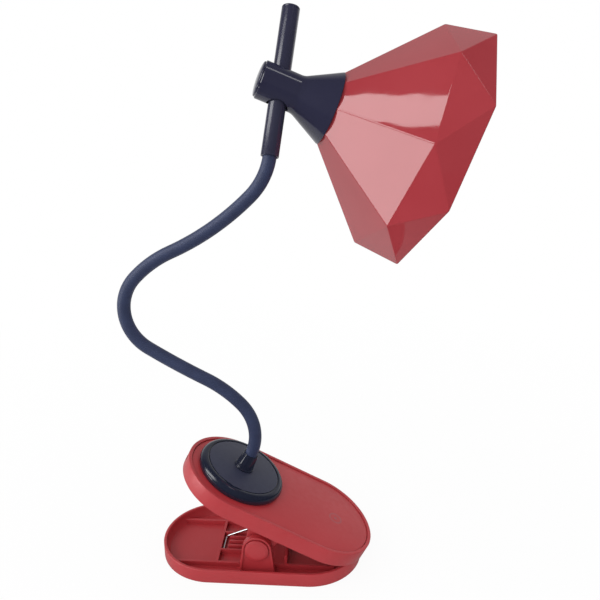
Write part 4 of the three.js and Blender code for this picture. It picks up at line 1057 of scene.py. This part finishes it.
def cover_screws():
    """Pan heads with a cross recess, one shape copied to the four places."""
    low, high = span("cover_screw_1", JAW_UP, PIVOT)
    chamfer, rise = SCREW_HEAD_CHAMFER
    profile = [
        (SCREW_SHANK, high),
        (SCREW_SHANK, low + SCREW_HEAD_HEIGHT),
        (SCREW_HEAD_RADIUS, low + SCREW_HEAD_HEIGHT),
        (SCREW_HEAD_RADIUS, low + rise),
        (SCREW_HEAD_RADIUS - chamfer, low),
    ]
    model = turned("cover_screw_model", profile, sides=40)
    for x, y in (CROSS_RECESS, CROSS_RECESS[::-1]):
        recess = block("recess", (-x, -y, low - MM), (x, y, low + CROSS_RECESS_DEPTH))
        combine(model, "DIFFERENCE", recess)
    for node in COVER_SCREWS:
        screw = model.copy()
        screw.data = model.data.copy()
        screw.name = f"{node}_pan_head"
        bpy.context.scene.collection.objects.link(screw)
        put(screw, JAW @ seat_of(node, JAW))
        finished(screw, "steel", "upper_jaw", node)
    bpy.data.objects.remove(model)


# ------------ gooseneck


def bend(start, heading, end, skip=0.0):
    """The arc that leaves start along a heading and ends at end, without its first length."""
    chord = end - start
    half = heading.angle(chord)
    axis = heading.cross(chord).normalized()
    length = chord.length * half / math.sin(half)
    count = 2 * max(2, round(length / NECK_SPACING / 2))  # even, so that the arc has a middle point
    points = []
    for i in range(count + 1):
        part = half * (skip / length + (1 - skip / length) * i / count)
        reach = chord.length * math.sin(part) / math.sin(half)
        points.append(start + Quaternion(axis, part) @ heading * reach)
    return points, Quaternion(axis, 2 * half) @ heading


def gooseneck():
    """Six lengths of sleeve, each from the middle of one stiff segment to that of the next."""
    socket_top = span("neck_socket", JAW_UP, PIVOT)[1]
    aside = middle("neck_socket") - PIVOT
    here = PIVOT + aside + JAW_UP * (socket_top - SOCKET_OVERLAP - JAW_UP.dot(aside))
    foot = HUB + ROD_UP * span("rod_tube", ROD_UP, HUB)[0]
    joints = [joint_at(f"neck_bend_{i + 1}") for i in range(6)]
    heading = JAW_UP
    skip = SOCKET_OVERLAP - SOCKET_RECESS + GAP
    arcs = []
    for end in joints + [foot]:
        points, heading = bend(here, heading, end, skip)
        arcs.append(points)
        here = end
        skip = 0.0
    arcs[-1].append(foot + ROD_UP * NECK_INSERTION)
    for i, joint in enumerate(joints):
        before, after = arcs[i], arcs[i + 1]
        start = 0 if i == 0 else len(before) // 2
        stop = len(after) if i == 5 else len(after) // 2 + 1
        points = before[start:-1] + after[:stop]
        piece = wire(f"gooseneck_{i + 1}", points, SLEEVE_RADIUS, resolution=10)
        nodes = [f"neck_sleeve_{i + 1}"] + (["neck_sleeve_7"] if i == 5 else [])
        finished(piece, "silicone_navy", None, *nodes)
        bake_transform(piece)


# ------------ rod and head


def rod():
    low, high = span("rod_tube", ROD_UP, HUB)
    bore = ROD_RADIUS - ROD_WALL
    tube = drum("rod_tube_slotted", ROD_RADIUS, low, high, TURNED)
    combine(tube, "DIFFERENCE", drum("bore", bore, low - MM, high + MM, TURNED))
    soften(tube, ROD_EDGE, segments=2)
    slot = block("slot", (-SLOT_WIDTH / 2, 0, -SLIDE_DOWN - SLOT_WIDTH),
                 (SLOT_WIDTH / 2, 2 * ROD_RADIUS, SLIDE_UP + SLOT_WIDTH))
    combine(tube, "DIFFERENCE", slot)
    finished(put(tube, ROD), "black_gloss", "rod", "rod_tube", material=ROD_FINISH)

    bottom, top = span("rod_cap", ROD_UP, HUB)
    profile = [(bore - GAP, bottom), (bore - GAP, high), (ROD_RADIUS, high)]
    edge = ROD_CAP_EDGE
    profile += rounding(ROD_RADIUS - edge, top - edge, edge, edge, steps=6)
    cap = put(turned("rod_cap_plug", profile), ROD)
    finished(cap, "black_gloss", "rod", "rod_cap", material=ROD_FINISH)


def head_housing():
    plug = CAP_PLUG_RADIUS + GAP
    slope = math.atan2(CONE_RADIUS - BARREL_RADIUS, CONE_FRONT - BARREL_FRONT)
    tangent = CONE_FILLET * math.tan(slope / 2)
    start = BARREL_FRONT - tangent
    profile = [
        (plug, CAP_PLUG + GAP - BARREL_BACK),
        (plug, -BARREL_BACK),
        (BARREL_RADIUS - BARREL_EDGE, -BARREL_BACK),
        (BARREL_RADIUS, BARREL_EDGE - BARREL_BACK),
    ]
    profile += rounding(BARREL_RADIUS + CONE_FILLET, start, -CONE_FILLET, CONE_FILLET,
                        steps=6, end=math.degrees(slope))
    profile += [
        (CONE_RADIUS, CONE_FRONT),
        (CONE_RADIUS - HOUSING_WALL, CONE_FRONT),
        (BARREL_RADIUS - HOUSING_WALL, BARREL_FRONT),
    ]
    piece = turned("head_housing_shell", profile)
    inside = HEAD.inverted()
    bore = put(drum("bore", BARREL_BORE, -3 * BARREL_RADIUS, 3 * BARREL_RADIUS, TURNED), inside @ ROD)
    wire_way = drum("wire_way", WIRE_HOLE, 0, CONE_FRONT)
    combine(piece, "DIFFERENCE", bore, wire_way)
    finished(put(piece, HEAD), "black_gloss", "head", "head_housing", angle=20)

    back = BARREL_BACK + GAP / 2
    side = BARREL_RADIUS - CAP_INSET
    dome = rounding(0, back + CAP_SIDE, side, CAP_DOME, steps=10, end=DOME_END)
    profile = [(radius, -height) for radius, height in reversed(dome)]
    profile += [
        (side, -back),
        (CAP_PLUG_RADIUS, -back),
        (CAP_PLUG_RADIUS, CAP_PLUG - BARREL_BACK),
    ]
    finished(put(turned("barrel_cap_dome", profile), HEAD), "black_gloss", "head", "barrel_cap")


def shade():
    """Eight facets out to the widest corners, then triangles to a rim turned by half a side."""
    neck = CONE_FRONT + GAP / 2
    half_side = math.pi / SHADE_SIDES
    piece = disc("shade_facets", SHADE_SIDES, SHADE_NECK_RADIUS, location=(0, 0, neck),
                 rotation=(0, 0, half_side - math.pi / 2))
    widest = (SHADE_MID_RADIUS, CONE_FRONT + SHADE_MID)
    rim = (SHADE_RIM_RADIUS, CONE_FRONT + SHADE_DEPTH)
    pull_to((SHADE_NECK_RADIUS, neck), widest)
    pull_to(widest, rim)
    bpy.ops.transform.rotate(value=half_side, orient_axis="Z", center_override=(0, 0, rim[1]))
    bpy.ops.mesh.delete(type="ONLY_FACE")
    choose(piece, "faces", lambda spot: spot.z > widest[1])
    bpy.ops.mesh.quads_convert_to_tris(quad_method="SHORTEST_DIAGONAL")
    done(piece)
    modify(piece, "SOLIDIFY", thickness=SHADE_WALL, offset=-1, use_even_offset=True, use_rim=True)
    soften(piece, SHADE_EDGE, segments=2, angle=SHADE_CREASE)
    holes = [drum("wire_hole", WIRE_HOLE, neck - MM, neck + 3 * SHADE_WALL)]
    for i in range(3):
        hole = drum("screw_hole", SCREW_HOLE, neck - MM, neck + 3 * SHADE_WALL, sides=24)
        holes.append(put(hole, seat_of(f"head_screw_{i + 1}", HEAD)))
    combine(piece, "DIFFERENCE", *holes)
    put(piece, HEAD)
    finished(piece, "shade_red", "head", "shade", angle=60)
    modify(piece, "WEIGHTED_NORMAL", mode="FACE_AREA", weight=100, keep_sharp=True)


def diffuser():
    low, high = span("diffuser", HEAD_OUT, HUB)
    inner = DIFFUSER_RADIUS - DIFFUSER_WALL
    skirt = low + DIFFUSER_SKIRT
    arc = {"steps": 12, "end": DOME_END}
    profile = rounding(0, skirt - DIFFUSER_WALL, inner, DIFFUSER_DOME, **arc)[::-1]
    profile += [(inner, low), (DIFFUSER_RADIUS, low)]
    profile += rounding(0, skirt, DIFFUSER_RADIUS, high - skirt, **arc)
    piece = soften(turned("diffuser_dome", profile), DIFFUSER_EDGE, segments=2, angle=50)
    finished(put(piece, HEAD), "opal_plastic", "head", "diffuser")


# ------------ the lamp

set_camera()
set_studio()

for part in frame["record"]["subparts"]:
    for holder in frame["nodes"][part["node"]].material_slots:
        holder.link = "OBJECT"
        holder.material = FINISHES[part["material_slot"]]

for make in (
    lower_jaw, base_pad, pivot_caps, clip_spring, upper_jaw, charging_port, cover_plate,
    mounting_disc, neck_socket, cover_screws, gooseneck, rod, head_housing, shade, diffuser,
):
    make()
